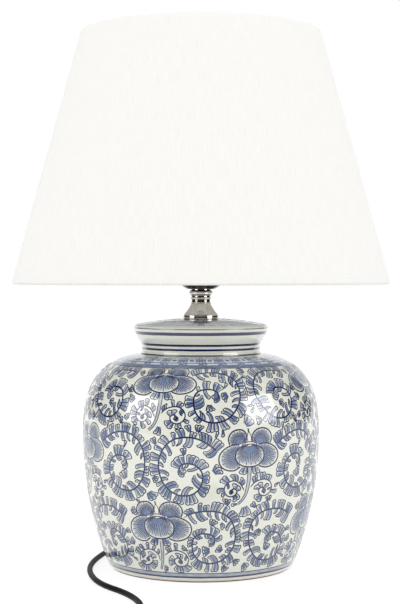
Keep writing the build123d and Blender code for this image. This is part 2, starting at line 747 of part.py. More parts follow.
# ---------------------------------------------------------------- bulb
def make_bulb():
    cone_low = BULB_LOW + BULB_TIP_HEIGHT
    cap_low = cone_low + BULB_CONE_HEIGHT
    cap_top = cap_low + BULB_CAP_HEIGHT
    tip = Pos(0, 0, BULB_LOW) * extrude(Circle(BULB_TIP_RADIUS), BULB_TIP_HEIGHT)
    cone = lathe(
        Polyline(
            (0, cone_low),
            (BULB_TIP_RADIUS + 1.0, cone_low),
            (BULB_CAP_RADIUS - 1.2, cap_low),
            (0, cap_low),
            (0, cone_low),
        )
    )
    cap = Pos(0, 0, cap_low) * extrude(Circle(BULB_CAP_RADIUS), BULB_CAP_HEIGHT)
    centre = BULB_LOW + BULB_LENGTH - BULB_GLASS_RADIUS
    neck_low = cap_top + BODY_GAP
    # The neck meets the globe where its line touches the circle.
    touch = math.radians(BULB_TOUCH)
    touch_point = (
        BULB_GLASS_RADIUS * math.cos(touch),
        centre + BULB_GLASS_RADIUS * math.sin(touch),
    )
    glass_outer = lathe(
        Polyline((0, neck_low), (BULB_NECK_RADIUS, neck_low), (BULB_NECK_RADIUS, neck_low + BULB_SKIRT)),
        bow((BULB_NECK_RADIUS, neck_low + BULB_SKIRT), touch_point, -BULB_NECK_SAG),
        ThreePointArc(touch_point, (BULB_GLASS_RADIUS, centre), (0, centre + BULB_GLASS_RADIUS)),
        Line((0, centre + BULB_GLASS_RADIUS), (0, neck_low)),
    )
    return tip, cone, cap, glass_outer


# ---------------------------------------------------------------- lead, bushing, coil
def fillet_radii(points):
    """Largest arc at each corner of a route: 0.45 of the shorter run over tan of half the turn."""
    vectors = [Vector(*point) for point in points]
    radii = []
    for before, corner, after in zip(vectors, vectors[1:], vectors[2:]):
        turn = math.radians((corner - before).get_angle(after - corner))
        shorter = min((corner - before).length, (after - corner).length)
        radii.append(0.45 * shorter / math.tan(turn / 2))
    return radii


def lead_tube(points, name, section_radius=LEAD_RADIUS):
    radii = fillet_radii(points)
    path = FilletPolyline(*points, radius=radii)
    section = Plane(origin=path @ 0, z_dir=path % 0) * Circle(section_radius)
    tube = sweep(section, path=path)
    ideal = math.pi * section_radius**2 * path.length
    print(name, "length", round(path.length, 1), "volume share", round(tube.volume / ideal, 4))
    print("  radii", [round(radius) for radius in radii])
    return tube, path.length


def make_inner_lead():
    """Lead held inside the lamp: through the bushing, under the tube and up to the terminals."""
    bend_low = EXIT_HEIGHT
    path = FilletPolyline(
        (0, EXIT_Y, bend_low), (0, 0, bend_low), (0, 0, INSERT_Z + 3.0), radius=ENTRY_BEND
    )
    section = Plane(origin=path @ 0, z_dir=path % 0) * Circle(LEAD_RADIUS)
    return sweep(section, path=path)


def make_bushing():
    """Flanged rubber bushing with a grooved, tapered tail along the lead, and a snap lip inside."""
    seat = bushing_seat_y()
    bore = LEAD_RADIUS + BORE_CLEARANCE
    flange_end = seat + BUSHING_FLANGE_THICKNESS
    shank = lathe(
        Polyline(
            (bore, seat - 16),
            (BUSHING_SHANK_RADIUS - 0.6, seat - 16),
            (BUSHING_SHANK_RADIUS, seat - 14),
            (BUSHING_SHANK_RADIUS, seat),
            (BUSHING_FLANGE_RADIUS, seat),
            (BUSHING_FLANGE_RADIUS, flange_end - 0.6),
            (BUSHING_FLANGE_RADIUS - 0.6, flange_end),
            (BUSHING_TAPER_START, flange_end),
            (BUSHING_TAPER_END, EXIT_Y),
            (bore, EXIT_Y),
            (bore, seat - 16),
        )
    )
    span = EXIT_Y - flange_end
    pitch = span / (BUSHING_GROOVES + 1)
    for index in range(BUSHING_GROOVES):
        middle = flange_end + (index + 1) * pitch
        share = (middle - flange_end) / span
        radius = BUSHING_TAPER_START + (BUSHING_TAPER_END - BUSHING_TAPER_START) * share
        depth = min(BUSHING_GROOVE_DEPTH, (radius - bore) / 2)
        shank -= ring(radius + 1, radius - depth, middle - pitch * 0.2, pitch * 0.4)
    # Turned about Z, then laid along Y at the exit's height.
    return Pos(0, 0, EXIT_HEIGHT) * (Rot(-90, 0, 0) * shank)


def coil_path():
    """Middle line of the coil: inward on the lower layer, a climbing half turn, then outward."""
    lower = COIL_REST
    upper = COIL_REST + COIL_PITCH
    step = COIL_PITCH / 2
    x = COIL_X
    y = COIL_Y - COIL_OUTER
    straight = 2 * LEAD_RADIUS
    edges = [Line((x - straight, y, lower), (x, y, lower))]
    radius, rising = COIL_OUTER, 1

    def half_turn(y, radius, rising, z):
        """Level half circle from the bottom of a turn to its top, or back."""
        middle_y = y + rising * radius
        return ThreePointArc((x, y, z), (x + rising * radius, middle_y, z), (x, y + rising * 2 * radius, z))

    for _ in range(COIL_HALF_TURNS):
        edges.append(half_turn(y, radius, rising, lower))
        y += rising * 2 * radius
        radius -= step
        rising = -rising
    # Two tangent quarter turns that climb from one layer to the next.
    climb = upper - lower
    reach = math.sqrt(radius**2 + climb**2 / 4)
    middle_y = y + rising * radius
    joint = (x + rising * reach, middle_y, lower + climb / 2)
    first = TangentArc((x, y, lower), joint, tangent=(rising, 0, 0))
    second = TangentArc(joint, (x, y + rising * 2 * radius, upper), tangent=first % 1)
    edges += [first, second]
    smallest = radius
    y += rising * 2 * radius
    rising = -rising
    for _ in range(COIL_HALF_TURNS):
        radius += step
        edges.append(half_turn(y, radius, rising, upper))
        y += rising * 2 * radius
        rising = -rising
    edges.append(Line((x, y, upper), (x - straight, y, upper)))
    end = (x - straight, y, upper)
    print("coil: smallest bend", round(smallest, 1), "ends at", [round(part, 1) for part in end])
    return Wire([edge for line in edges for edge in line.edges()]), end


def least_gap_to_itself(path, radius, samples=1500):
    """Smallest gap between stretches of a tube that are over a quarter turn apart along it."""
    points = [path @ (index / (samples - 1)) for index in range(samples)]
    apart = int(samples * (COIL_OUTER * 1.6) / path.length)
    least = min(
        (points[first] - points[second]).length
        for first in range(0, samples, 3)
        for second in range(first + apart, samples)
    )
    return least - 2 * radius


def make_coil():
    path, end = coil_path()
    section = Plane(origin=path @ 0, z_dir=path % 0) * Circle(LEAD_RADIUS)
    tube = sweep(section, path=path)
    ideal = math.pi * LEAD_RADIUS**2 * path.length
    print("coil length", round(path.length, 1), "volume share", round(tube.volume / ideal, 4))
    print("coil least gap to itself", round(least_gap_to_itself(path, LEAD_RADIUS), 2))
    return tube, path.length, end


def make_coil_ties():
    """Two narrow straps round the turns, one each side of the coil."""
    step = COIL_PITCH / 2
    inner_turn = COIL_OUTER - (COIL_HALF_TURNS - 1) * step
    spare = LEAD_RADIUS + TIE_CLEARANCE
    height = COIL_PITCH + 2 * spare
    sides = [
        (COIL_X + inner_turn, COIL_X + COIL_OUTER),
        (COIL_X - COIL_OUTER + step, COIL_X - inner_turn + step),
    ]
    straps = []
    for near, far in sides:
        width = far - near + 2 * spare
        middle = ((near + far) / 2, COIL_Y + step, COIL_REST + COIL_PITCH / 2)
        section = Plane(origin=middle, x_dir=(1, 0, 0), z_dir=(0, -1, 0))
        outer = RectangleRounded(
            width + 2 * TIE_THICKNESS, height + 2 * TIE_THICKNESS, LEAD_RADIUS + TIE_THICKNESS
        )
        inner = RectangleRounded(width, height, LEAD_RADIUS)
        straps.append(extrude(section * (outer - inner), TIE_WIDTH / 2, both=True))
    return Compound(children=straps)


# ---------------------------------------------------------------- switch
def switch_block(low, high, inset):
    """Rounded switch outline between two heights, inset from the outside."""
    outline = RectangleRounded(
        SWITCH_LENGTH - 2 * inset, SWITCH_WIDTH - 2 * inset, SWITCH_CORNER - inset
    )
    return Pos(SWITCH_X, SWITCH_Y, low) * extrude(outline, high - low)


def switch_lead_bores():
    bore = Plane(
        origin=(SWITCH_X - SWITCH_LENGTH, SWITCH_Y, SWITCH_SPLIT), x_dir=(0, 1, 0), z_dir=(1, 0, 0)
    ) * Circle(LEAD_RADIUS + BORE_CLEARANCE)
    return extrude(bore, 2 * SWITCH_LENGTH)


def switch_screw_places():
    return [
        (SWITCH_X - SWITCH_SCREW_X, SWITCH_Y + SWITCH_SCREW_Y),
        (SWITCH_X + SWITCH_SCREW_X, SWITCH_Y - SWITCH_SCREW_Y),
    ]


def make_switch_base():
    """Lower half: a tray with a post round each screw."""
    block = switch_block(SWITCH_LIFT, SWITCH_SPLIT, 0)
    block = fillet(block.faces().sort_by(Axis.Z)[0].edges(), SWITCH_EDGE)
    tray = block - switch_block(SWITCH_LIFT + SWITCH_WALL, SWITCH_SPLIT, SWITCH_WALL)
    for x, y in switch_screw_places():
        tray += Pos(x, y, SWITCH_LIFT + SWITCH_WALL) * extrude(
            Circle(SWITCH_POST_RADIUS), SWITCH_SPLIT - SWITCH_LIFT - SWITCH_WALL
        )
    tray -= switch_lead_bores()
    for x, y in switch_screw_places():
        tray -= Pos(x, y, SWITCH_SPLIT / 2) * Cylinder(SWITCH_SCREW_RADIUS + 0.2, 2 * SWITCH_SPLIT)
        tray -= Pos(x, y, SWITCH_LIFT) * Cylinder(SWITCH_SCREW_HEAD + 0.3, 5.0)
    return tray


def make_switch_cover():
    """Upper half: window for the rocker, and two cheeks that carry its pins."""
    block = switch_block(SWITCH_SPLIT, SWITCH_HEIGHT, 0)
    block = fillet(block.faces().sort_by(Axis.Z)[-1].edges(), SWITCH_EDGE)
    cover = block - switch_block(SWITCH_SPLIT, SWITCH_HEIGHT - SWITCH_WALL, SWITCH_WALL)
    window = Pos(SWITCH_X, SWITCH_Y, SWITCH_HEIGHT) * Box(
        ROCKER_LENGTH + 2 * ROCKER_END_GAP, ROCKER_WIDTH + 2 * ROCKER_SIDE_GAP, 4 * SWITCH_WALL
    )
    cover -= window
    cheek_low = ROCKER_PIVOT_HEIGHT - 2.2 * ROCKER_PIN_RADIUS
    cheek_height = SWITCH_HEIGHT - SWITCH_WALL - cheek_low
    cheek_middle = ROCKER_WIDTH / 2 + ROCKER_SIDE_GAP + CHEEK_THICKNESS / 2
    for side in (-1, 1):
        cover += Pos(SWITCH_X, SWITCH_Y + side * cheek_middle, cheek_low + cheek_height / 2) * Box(
            CHEEK_LENGTH, CHEEK_THICKNESS, cheek_height
        )
    for x, y in switch_screw_places():
        cover += Pos(x, y, SWITCH_SPLIT) * extrude(
            Circle(SWITCH_POST_RADIUS), SWITCH_HEIGHT - SWITCH_WALL - SWITCH_SPLIT
        )
        cover -= Pos(x, y, SWITCH_SPLIT) * Cylinder(SWITCH_SCREW_RADIUS, 2 * (SWITCH_SPLIT - 2.5))
    cover -= switch_lead_bores()
    pin_hole = rocker_axis_plane() * extrude(
        Circle(ROCKER_PIN_RADIUS + ROCKER_PIN_CLEARANCE), cheek_middle + CHEEK_THICKNESS / 2, both=True
    )
    return cover - pin_hole


def rocker_axis_plane():
    return Plane(origin=(SWITCH_X, SWITCH_Y, ROCKER_PIVOT_HEIGHT), x_dir=(1, 0, 0), z_dir=(0, -1, 0))


def make_rocker():
    """Rocker with a dished top and two pins, set tilted to its off side."""
    half = ROCKER_LENGTH / 2
    section = make_face(
        [
            *bow((-half, ROCKER_TOP), (half, ROCKER_TOP), -ROCKER_DIP).edges(),
            *Polyline(
                (half, ROCKER_TOP),
                (half - 0.5, -0.4),
                (half - 4.5, -ROCKER_UNDER),
                (4.5 - half, -ROCKER_UNDER),
                (0.5 - half, -0.4),
                (-half, ROCKER_TOP),
            ).edges(),
        ]
    )
    axis_plane = rocker_axis_plane()
    body = extrude(axis_plane * (Rot(0, 0, ROCKER_TILT) * section), ROCKER_WIDTH / 2, both=True)
    pins = axis_plane * extrude(
        Circle(ROCKER_PIN_RADIUS), ROCKER_WIDTH / 2 + ROCKER_PIN_REACH, both=True
    )
    return body + pins


def make_switch_screws():
    screws = []
    head_low = SWITCH_LIFT + 0.9
    for x, y in switch_screw_places():
        head = Pos(x, y, head_low) * extrude(Circle(SWITCH_SCREW_HEAD), 1.5)
        slot = Pos(x, y, head_low) * Box(2 * SWITCH_SCREW_HEAD, 0.7, 1.2)
        shank = Pos(x, y, head_low + 1.5) * extrude(
            Circle(SWITCH_SCREW_RADIUS - 0.05), SWITCH_SPLIT + 4.5 - head_low - 1.5
        )
        screws.append(head - slot + shank)
    return Compound(children=screws)


def make_switch_contacts():
    """Fixed and moving contact strips between the two lead ends."""
    strips = []
    for side in (-1, 1):
        foot = Pos(SWITCH_X + side * 10.5, SWITCH_Y, SWITCH_LIFT + SWITCH_WALL + 1.2) * Box(7.0, 6.0, 2.4)
        blade = Pos(SWITCH_X + side * 7.2, SWITCH_Y, SWITCH_LIFT + SWITCH_WALL + 3.0) * Box(0.8, 5.0, 6.0)
        strips.append(foot + blade)
    return Compound(children=strips)


# ---------------------------------------------------------------- plug
def plug_section(x, width, height):
    plane = Plane(origin=(x, PLUG_Y, plug_middle()), x_dir=(0, 1, 0), z_dir=(1, 0, 0))
    corner = height * 0.47
    return plane * RectangleRounded(width, height, corner)


def plug_middle():
    return PLUG_LIFT + PLUG_FACE_HEIGHT / 2


def plug_face_x():
    return PLUG_X - PLUG_BOOT_LENGTH - PLUG_BODY_LENGTH


def make_plug_body():
    """Moulded body that narrows from the pins to a grooved boot round the lead."""
    face = plug_face_x()
    waist = face + 0.5 * PLUG_BODY_LENGTH
    tail = face + PLUG_BODY_LENGTH
    sections = [
        plug_section(face, PLUG_FACE_WIDTH, PLUG_FACE_HEIGHT),
        plug_section(waist, PLUG_WAIST_WIDTH, PLUG_WAIST_HEIGHT),
        plug_section(tail, PLUG_TAIL_WIDTH, PLUG_TAIL_HEIGHT),
    ]
    body = loft(sections[:2], ruled=True) + loft(sections[1:], ruled=True)
    along = Plane(origin=(tail, PLUG_Y, plug_middle()), x_dir=(0, 1, 0), z_dir=(1, 0, 0))
    boot = Cone(
        PLUG_BOOT_START, BUSHING_TAPER_END, PLUG_BOOT_LENGTH, align=(Align.CENTER, Align.CENTER, Align.MIN)
    )
    pitch = PLUG_BOOT_LENGTH / (BUSHING_GROOVES + 1)
    for index in range(BUSHING_GROOVES):
        middle = (index + 1) * pitch
        radius = PLUG_BOOT_START + (BUSHING_TAPER_END - PLUG_BOOT_START) * middle / PLUG_BOOT_LENGTH
        boot -= ring(radius + 1, radius - 0.35, middle - pitch * 0.2, pitch * 0.4)
    body += along * boot
    for side in (-1, 1):
        body -= pin_plane(side) * extrude(Circle(PIN_CORE + 0.02), PIN_SEAT)
    return body


def pin_plane(side):
    """Plane at a pin's root in the plug face, looking into the body."""
    root = (plug_face_x(), PLUG_Y + side * PIN_SPACING / 2, plug_middle())
    return Plane(origin=root, x_dir=(0, 1, 0), z_dir=(1, 0, 0))


def make_plug_pins():
    pins, sleeves = [], []
    for side in (-1, 1):
        root = pin_plane(side)
        core = root.offset(-PIN_SLEEVE_LENGTH) * extrude(Circle(PIN_CORE), PIN_SLEEVE_LENGTH + PIN_SEAT)
        tip = root.offset(-PIN_LENGTH) * extrude(Circle(PIN_RADIUS), PIN_LENGTH - PIN_SLEEVE_LENGTH)
        tip = fillet(tip.faces().sort_by(Axis.X)[0].edges(), 1.2)
        pins.append(core + tip)
        sleeves.append(
            root.offset(-PIN_SLEEVE_LENGTH)
            * extrude(Circle(PIN_RADIUS) - Circle(PIN_CORE + 0.02), PIN_SLEEVE_LENGTH)
        )
    return Compound(children=pins), Compound(children=sleeves)


# ---------------------------------------------------------------- build
def main():
    os.makedirs("parts", exist_ok=True)
    for name, piece in jar_slices(make_jar()).items():
        write(name, piece)
    write("lid", make_lid())
    cover, felt = make_bottom_cover()
    write("bottom_cover", cover)
    write("bottom_felt", felt)
    washer, nut = make_floor_fixings()
    write("floor_washer", washer)
    write("floor_nut", nut)
    write("threaded_tube", make_tube())
    write("soft_washer", make_soft_washer())
    write("neck_bell", make_bell())
    write("neck_spindle", make_spindle())
    write("neck_collar", make_collar())
    write("holder_cap", make_holder_cap())
    write("holder_lock_nut", make_lock_nut())
    write("holder_skirt", make_holder_skirt())
    write("holder_insert", make_insert())
    write("terminals", make_terminals())
    write("centre_contact", make_contact_leaf())
    write("screw_shell", make_screw_shell())
    write("shade_seat_ring", make_shade_ring(SEAT_TOP - SHADE_RING_HEIGHT, True))
    write("shade_clamp_ring", make_shade_ring(CLAMP_LOW, False))
    cloth = make_shade_cloth()
    for passage in arms(ARM_RADIUS + BORE_CLEARANCE):
        cloth -= passage
    write("shade_cloth", cloth)
    write("shade_liner", make_shade_liner())
    write("shade_top_wire", edge_wire(slant_height() - BEAD_RADIUS))
    write("shade_spider", make_spider())
    tip, cone, cap, glass = make_bulb()
    write("bulb_tip", tip)
    write("bulb_insulator", cone)
    write("bulb_cap", cap)
    write("bulb_glass", glass)

    write("lead_bushing", make_bushing())
    write("inner_lead", make_inner_lead())
    run_in, length_in = lead_tube(ROUTE_TO_SWITCH, "lead to switch")
    coil, coil_length, coil_end = make_coil()
    run_mid, length_mid = lead_tube(ROUTE_TO_COIL, "lead to coil")
    plug_in = (PLUG_X, PLUG_Y, plug_middle())
    route_to_plug = [
        coil_end,
        (coil_end[0] - 19, coil_end[1], coil_end[2]),
        (PLUG_X + 23, PLUG_Y, plug_middle()),
        plug_in,
    ]
    run_out, length_out = lead_tube(route_to_plug, "lead to plug")
    total = length_in + SWITCH_LENGTH + length_mid + coil_length + length_out
    print("whole lead", round(total, 1))
    write("lead_to_switch", run_in)
    write("lead_to_coil", run_mid)
    write("lead_coil", coil)
    write("coil_ties", make_coil_ties())
    write("lead_to_plug", run_out)
    write("switch_base", make_switch_base())
    write("switch_cover", make_switch_cover())
    write("switch_rocker", make_rocker())
    write("switch_screws", make_switch_screws())
    write("switch_contacts", make_switch_contacts())
    write("plug_body", make_plug_body())
    pins, sleeves = make_plug_pins()
    write("plug_pins", pins)
    write("plug_pin_sleeves", sleeves)


main()
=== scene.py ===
"""Ginger jar table lamp: glaze, brushwork, turned neck, cloth shade and mains lead, dressed on
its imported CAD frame. Metres, +Z up, the front towards -Y.
"""

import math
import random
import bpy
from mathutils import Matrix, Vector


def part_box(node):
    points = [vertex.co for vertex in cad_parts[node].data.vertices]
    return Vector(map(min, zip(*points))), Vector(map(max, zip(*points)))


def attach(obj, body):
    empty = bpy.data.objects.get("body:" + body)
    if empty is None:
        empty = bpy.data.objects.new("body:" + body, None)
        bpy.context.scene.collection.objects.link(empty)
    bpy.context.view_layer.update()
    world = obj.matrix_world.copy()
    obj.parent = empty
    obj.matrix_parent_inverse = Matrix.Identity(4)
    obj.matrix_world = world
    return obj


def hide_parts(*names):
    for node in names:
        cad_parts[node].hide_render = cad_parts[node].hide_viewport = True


bl_info = {
    "name": "Ginger Jar Lamp",
    "version": (1, 0, 0),
    "blender": (4, 5, 0),
    "location": "View3D > Sidebar > Jar Lamp",
    "description": "Dresses the ginger jar lamp's frame with glaze, brushwork, cloth and metal",
    "category": "Object",
}

import bmesh
import bpy
import numpy as np
from bpy.props import FloatProperty, FloatVectorProperty, IntProperty, PointerProperty
from mathutils import Vector
from mathutils.bvhtree import BVHTree

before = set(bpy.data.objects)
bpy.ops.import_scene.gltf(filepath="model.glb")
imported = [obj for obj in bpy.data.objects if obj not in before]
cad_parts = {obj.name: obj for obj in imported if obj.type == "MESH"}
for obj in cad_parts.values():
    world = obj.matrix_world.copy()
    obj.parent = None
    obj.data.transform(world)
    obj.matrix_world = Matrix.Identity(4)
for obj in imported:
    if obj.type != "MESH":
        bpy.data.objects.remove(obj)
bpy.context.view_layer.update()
MM = 0.001
JAR_NODES = ("jar_foot", "jar_floor", "jar", "jar_shoulder", "jar_neck")
UNDER_NODES = ("bottom_cover", "bottom_felt", "floor_washer", "floor_nut", "threaded_tube")
JAR_SHEET_RADIUS = 0.1092  # where the side's painting is laid flat at its true width
LID_SHEET_RADIUS = 0.055
LEDGE_RADII = (0.0568, 0.0560)  # the glaze ends on the ledge that the lid stands on
LID_HOLE_RADIUS = 0.0088
LINE_LIFT = 0.00006  # how far paint stands out of the glaze
WASH_LIFT = 0.000035
BAND_ROW = 0.0018  # a band is cut into rows no taller than about this, to follow a curve


def srgb(red, green, blue):
    """Screen colour from 0 to 255 as the linear colour that Blender keeps."""

    def linear(value):
        value /= 255
        return value / 12.92 if value <= 0.04045 else ((value + 0.055) / 1.055) ** 2.4

    return (linear(red), linear(green), linear(blue))


def opaque(colour):
    return (*colour, 1.0)


# ---------------------------------------------------------------- sizes and colours to change
def length(name, description, value):
    return FloatProperty(
        name=name, description=description, default=value, unit="LENGTH", precision=5
    )


def colour(name, description, value):
    return FloatVectorProperty(
        name=name, description=description, default=value, subtype="COLOR", size=3, min=0, max=1
    )


class GlazeSettings(bpy.types.PropertyGroup):
    thickness: length("Thickness", "Glaze over the clay of the jar and its lid", 0.00018)
    bare_foot: length("Bare foot", "Height of the foot's edge that has no glaze", 0.0013)
    segments: IntProperty(name="Segments", description="Steps round the jar", default=256, min=64)
    tint: colour("Glaze", "Off-white glaze over the clay", srgb(240, 241, 229))
    clay: colour("Clay", "Bare fired clay of the foot", srgb(160, 104, 74))


class PaintingSettings(bpy.types.PropertyGroup):
    seed: IntProperty(name="Hand", description="Another hand's unsteadiness", default=11, min=0)
    foot_band: length("Foot band", "Height of the foot's upper line", 0.0090)
    key_outer: length("Fret outside", "Radius at which the shoulder's fret starts", 0.083)
    key_inner: length("Fret inside", "Radius at which the shoulder's fret ends", 0.0595)
    key_units: IntProperty(name="Fret units", description="Squares to a quarter", default=7)
    dark: colour("Dark cobalt", "Where the brush was full", srgb(15, 28, 76))
    light: colour("Light cobalt", "Where the brush ran dry", srgb(42, 64, 120))
    wash: colour("Deep wash", "Thicker parts of the thin colour", srgb(94, 116, 158))
    pale: colour("Pale wash", "Thinner parts of the thin colour", srgb(224, 227, 222))


class ShadeSettings(bpy.types.PropertyGroup):
    cloth: length("Cloth", "Thickness of the cloth", 0.0006)
    bead: length("Rolled edge", "Radius of the cloth rolled round each edge wire", 0.00195)
    tint: colour("Cloth", "Off-white woven cloth", srgb(246, 245, 241))
    lining: colour("Lining", "White lining film", srgb(238, 238, 234))
    threads: IntProperty(name="Threads", description="Upright threads round the shade", default=420)


class LeadSettings(bpy.types.PropertyGroup):
    diameter: length("Diameter", "Round sheath of the mains lead", 0.005)
    table_gap: length("Height", "Middle of the lead lying on the table", 0.0026)
    tint: colour("Sheath", "Black flexible sheath", srgb(18, 18, 19))


class NeckSettings(bpy.types.PropertyGroup):
    chrome: colour("Plating", "Polished plating of the neck", srgb(226, 220, 212))
    moulding: colour("Moulding", "Black moulding of the lampholder and its rings", srgb(30, 30, 31))
    brass: colour("Brass", "Contacts inside the lampholder", srgb(196, 160, 96))
    steel: colour("Zinc", "Zinc-plated tube, nuts and screws", srgb(186, 188, 188))


class StudioSettings(bpy.types.PropertyGroup):
    distance: length("Camera distance", "From the lamp's axis", 1.351)
    height: length("Camera height", "Above the table", 0.2699)
    focal: FloatProperty(name="Focal length", description="In millimetres", default=86.4)
    shift_x: FloatProperty(name="Shift X", description="Sideways framing", default=-0.0015)
    shift_y: FloatProperty(name="Shift Y", description="Upright framing", default=-0.0464)
    floor: colour("Floor", "Pale table top", srgb(232, 232, 232))
    box_power: FloatProperty(name="Box power", description="Each soft box, in watts", default=15.0)
    sky: FloatProperty(name="Sky", description="Even light from all round", default=1.14)


GROUPS = {
    "lamp_glaze": GlazeSettings,
    "lamp_painting": PaintingSettings,
    "lamp_shade": ShadeSettings,
    "lamp_lead": LeadSettings,
    "lamp_neck": NeckSettings,
    "lamp_studio": StudioSettings,
}


# ---------------------------------------------------------------- shader maths
class Value:
    """An output socket that Python's own operators can be used on."""

    def __init__(self, shader, socket):
        self.shader = shader
        self.socket = socket

    def _math(self, operation, *others):
        inputs = {index: other for index, other in enumerate((self, *others))}
        return self.shader.node("ShaderNodeMath", {"operation": operation}, inputs)

    def __add__(self, other):
        return self._math("ADD", other)

    def __mul__(self, other):
        return self._math("MULTIPLY", other)

    def __sub__(self, other):
        return self._math("SUBTRACT", other)

    def absolute(self):
        return self._math("ABSOLUTE")

    def wave(self):
        return self._math("SINE")

    def step(self, low, high):
        """0 below low, 1 above high and smooth between."""
        inputs = {"Value": self, "From Min": low, "From Max": high}
        return self.shader.node(
            "ShaderNodeMapRange", {"interpolation_type": "SMOOTHSTEP", "clamp": True}, inputs
        )


class Shader:
    """A material under construction."""

    def __init__(self, name, **constants):
        self.material = bpy.data.materials.new(name)
        self.material.use_nodes = True
        self.tree = self.material.node_tree
        self.tree.nodes.clear()
        self.surface = self.tree.nodes.new("ShaderNodeBsdfPrincipled")
        output = self.tree.nodes.new("ShaderNodeOutputMaterial")
        self.tree.links.new(self.surface.outputs[0], output.inputs["Surface"])
        self.output = output
        for key, value in constants.items():
            self.set(key.replace("_", " "), value)
        if "Base_Color" in constants:
            self.material.diffuse_color = constants["Base_Color"]

    def node(self, kind, settings=None, inputs=None, out=0):
        """A node with its settings, then the numbers or links of its sockets."""
        node = self.tree.nodes.new(kind)
        for key, value in (settings or {}).items():
            setattr(node, key, value)
        for key, value in (inputs or {}).items():
            self.feed(node.inputs[key], value)
        return Value(self, node.outputs[out])

    def feed(self, socket, value):
        if isinstance(value, Value):
            self.tree.links.new(value.socket, socket)
        else:
            socket.default_value = value

    def set(self, name, value):
        self.feed(self.surface.inputs[name], value)
        return self

    def place(self):
        """Object coordinates, in metres in the lamp's frame."""
        return self.node("ShaderNodeTexCoord", out="Object")

    def parts(self, vector):
        node = self.node("ShaderNodeSeparateXYZ", None, {0: vector}).socket.node
        return [Value(self, node.outputs[index]) for index in range(3)]

    def join(self, x, y, z):
        return self.node("ShaderNodeCombineXYZ", None, {0: x, 1: y, 2: z})

    def noise(self, vector, scale, detail=2.0, roughness=0.5):
        inputs = {"Vector": vector, "Scale": scale, "Detail": detail, "Roughness": roughness}
        return self.node("ShaderNodeTexNoise", None, inputs)

    def mix(self, factor, first, second):
        settings = {"data_type": "RGBA"}
        return self.node("ShaderNodeMix", settings, {0: factor, 6: first, 7: second}, out=2)

    def bump(self, height, distance, strength=1.0):
        inputs = {"Height": height, "Distance": distance, "Strength": strength}
        return self.set("Normal", self.node("ShaderNodeBump", None, inputs))

    def round_axis(self, vector):
        """Angle about the lamp's axis from the front, in radians, and height."""
        x, y, z = self.parts(vector)
        angle = self.node("ShaderNodeMath", {"operation": "ARCTAN2"}, {0: x, 1: y * -1})
        return angle, z


def mottled(name, dark, light, scale, rough, grain, grain_scale, **constants):
    """A finish whose tone wanders between two colours, with a fine grain in its surface."""
    shader = Shader(name, Base_Color=opaque(light), **constants)
    place = shader.place()
    tone = shader.noise(place, scale, 3.0)
    shader.set("Base Color", shader.mix(tone.step(0.3, 0.7), opaque(dark), opaque(light)))
    low, high = rough
    shader.set("Roughness", shader.noise(place, scale * 4, 2.0) * (high - low) + low)
    if grain:
        shader.bump(shader.noise(place, grain_scale, 2.0), grain)
    return shader.material


def shade_of(tint, share):
    return tuple(min(1.0, part * share) for part in tint)


def add_node(tree, kind, inputs, settings):
    """A node with its settings, then the numbers or links of its sockets."""
    node = tree.nodes.new(kind)
    for key, value in settings.items():
        setattr(node, key, value)
    for key, value in inputs.items():
        if isinstance(value, bpy.types.NodeSocket):
            tree.links.new(value, node.inputs[key])
        else:
            node.inputs[key].default_value = value
    return node


# ---------------------------------------------------------------- geometry trees
def tree_of(name, sockets):
    """An empty geometry tree with a geometry input and output and the named inputs."""
    tree = bpy.data.node_groups.new(name, "GeometryNodeTree")
    tree.interface.new_socket("Geometry", in_out="INPUT", socket_type="NodeSocketGeometry")
    for label, kind in sockets:
        tree.interface.new_socket(label, in_out="INPUT", socket_type=kind)
    tree.interface.new_socket("Geometry", in_out="OUTPUT", socket_type="NodeSocketGeometry")
    start = tree.nodes.new("NodeGroupInput")
    end = tree.nodes.new("NodeGroupOutput")

    def add(kind, inputs, **settings):
        return add_node(tree, kind, inputs, settings).outputs[0]

    def finish(geometry):
        real = add("GeometryNodeRealizeInstances", {0: geometry})
        finished = add(
            "GeometryNodeSetMaterial", {"Geometry": real, "Material": start.outputs["Material"]}
        )
        tree.links.new(finished, end.inputs[0])

    return tree, start, add, finish


def turned_tree():
    """Turns an outline of (radius, height) edges about Z into a closed skin."""
    tree, start, add, finish = tree_of(
        "Turned about the axis",
        [("Segments", "NodeSocketInt"), ("Material", "NodeSocketMaterial")],
    )
    outline = add("GeometryNodeMeshToCurve", {0: start.outputs["Geometry"]})
    axis = add(
        "GeometryNodeCurvePrimitiveCircle",
        {"Resolution": start.outputs["Segments"], "Radius": 1.0},
    )
    skin = add("GeometryNodeCurveToMesh", {"Curve": axis, "Profile Curve": outline})
    smooth = add("GeometryNodeSetShadeSmooth", {"Geometry": skin})
    finish(smooth)
    return tree


def repeat_tree():
    """Repeats its geometry evenly about Z."""
    tree, start, add, finish = tree_of(
        "Repeated round the axis",
        [("Count", "NodeSocketInt"), ("Material", "NodeSocketMaterial")],
    )
    points = add("GeometryNodePoints", {"Count": start.outputs["Count"]})
    index = add("GeometryNodeInputIndex", {})
    step = add("ShaderNodeMath", {0: math.tau, 1: start.outputs["Count"]}, operation="DIVIDE")
    turn = add("ShaderNodeMath", {0: index, 1: step}, operation="MULTIPLY")
    spin = add("ShaderNodeCombineXYZ", {2: turn})
    copies = add(
        "GeometryNodeInstanceOnPoints",
        {"Points": points, "Instance": start.outputs["Geometry"], "Rotation": spin},
    )
    finish(copies)
    return tree


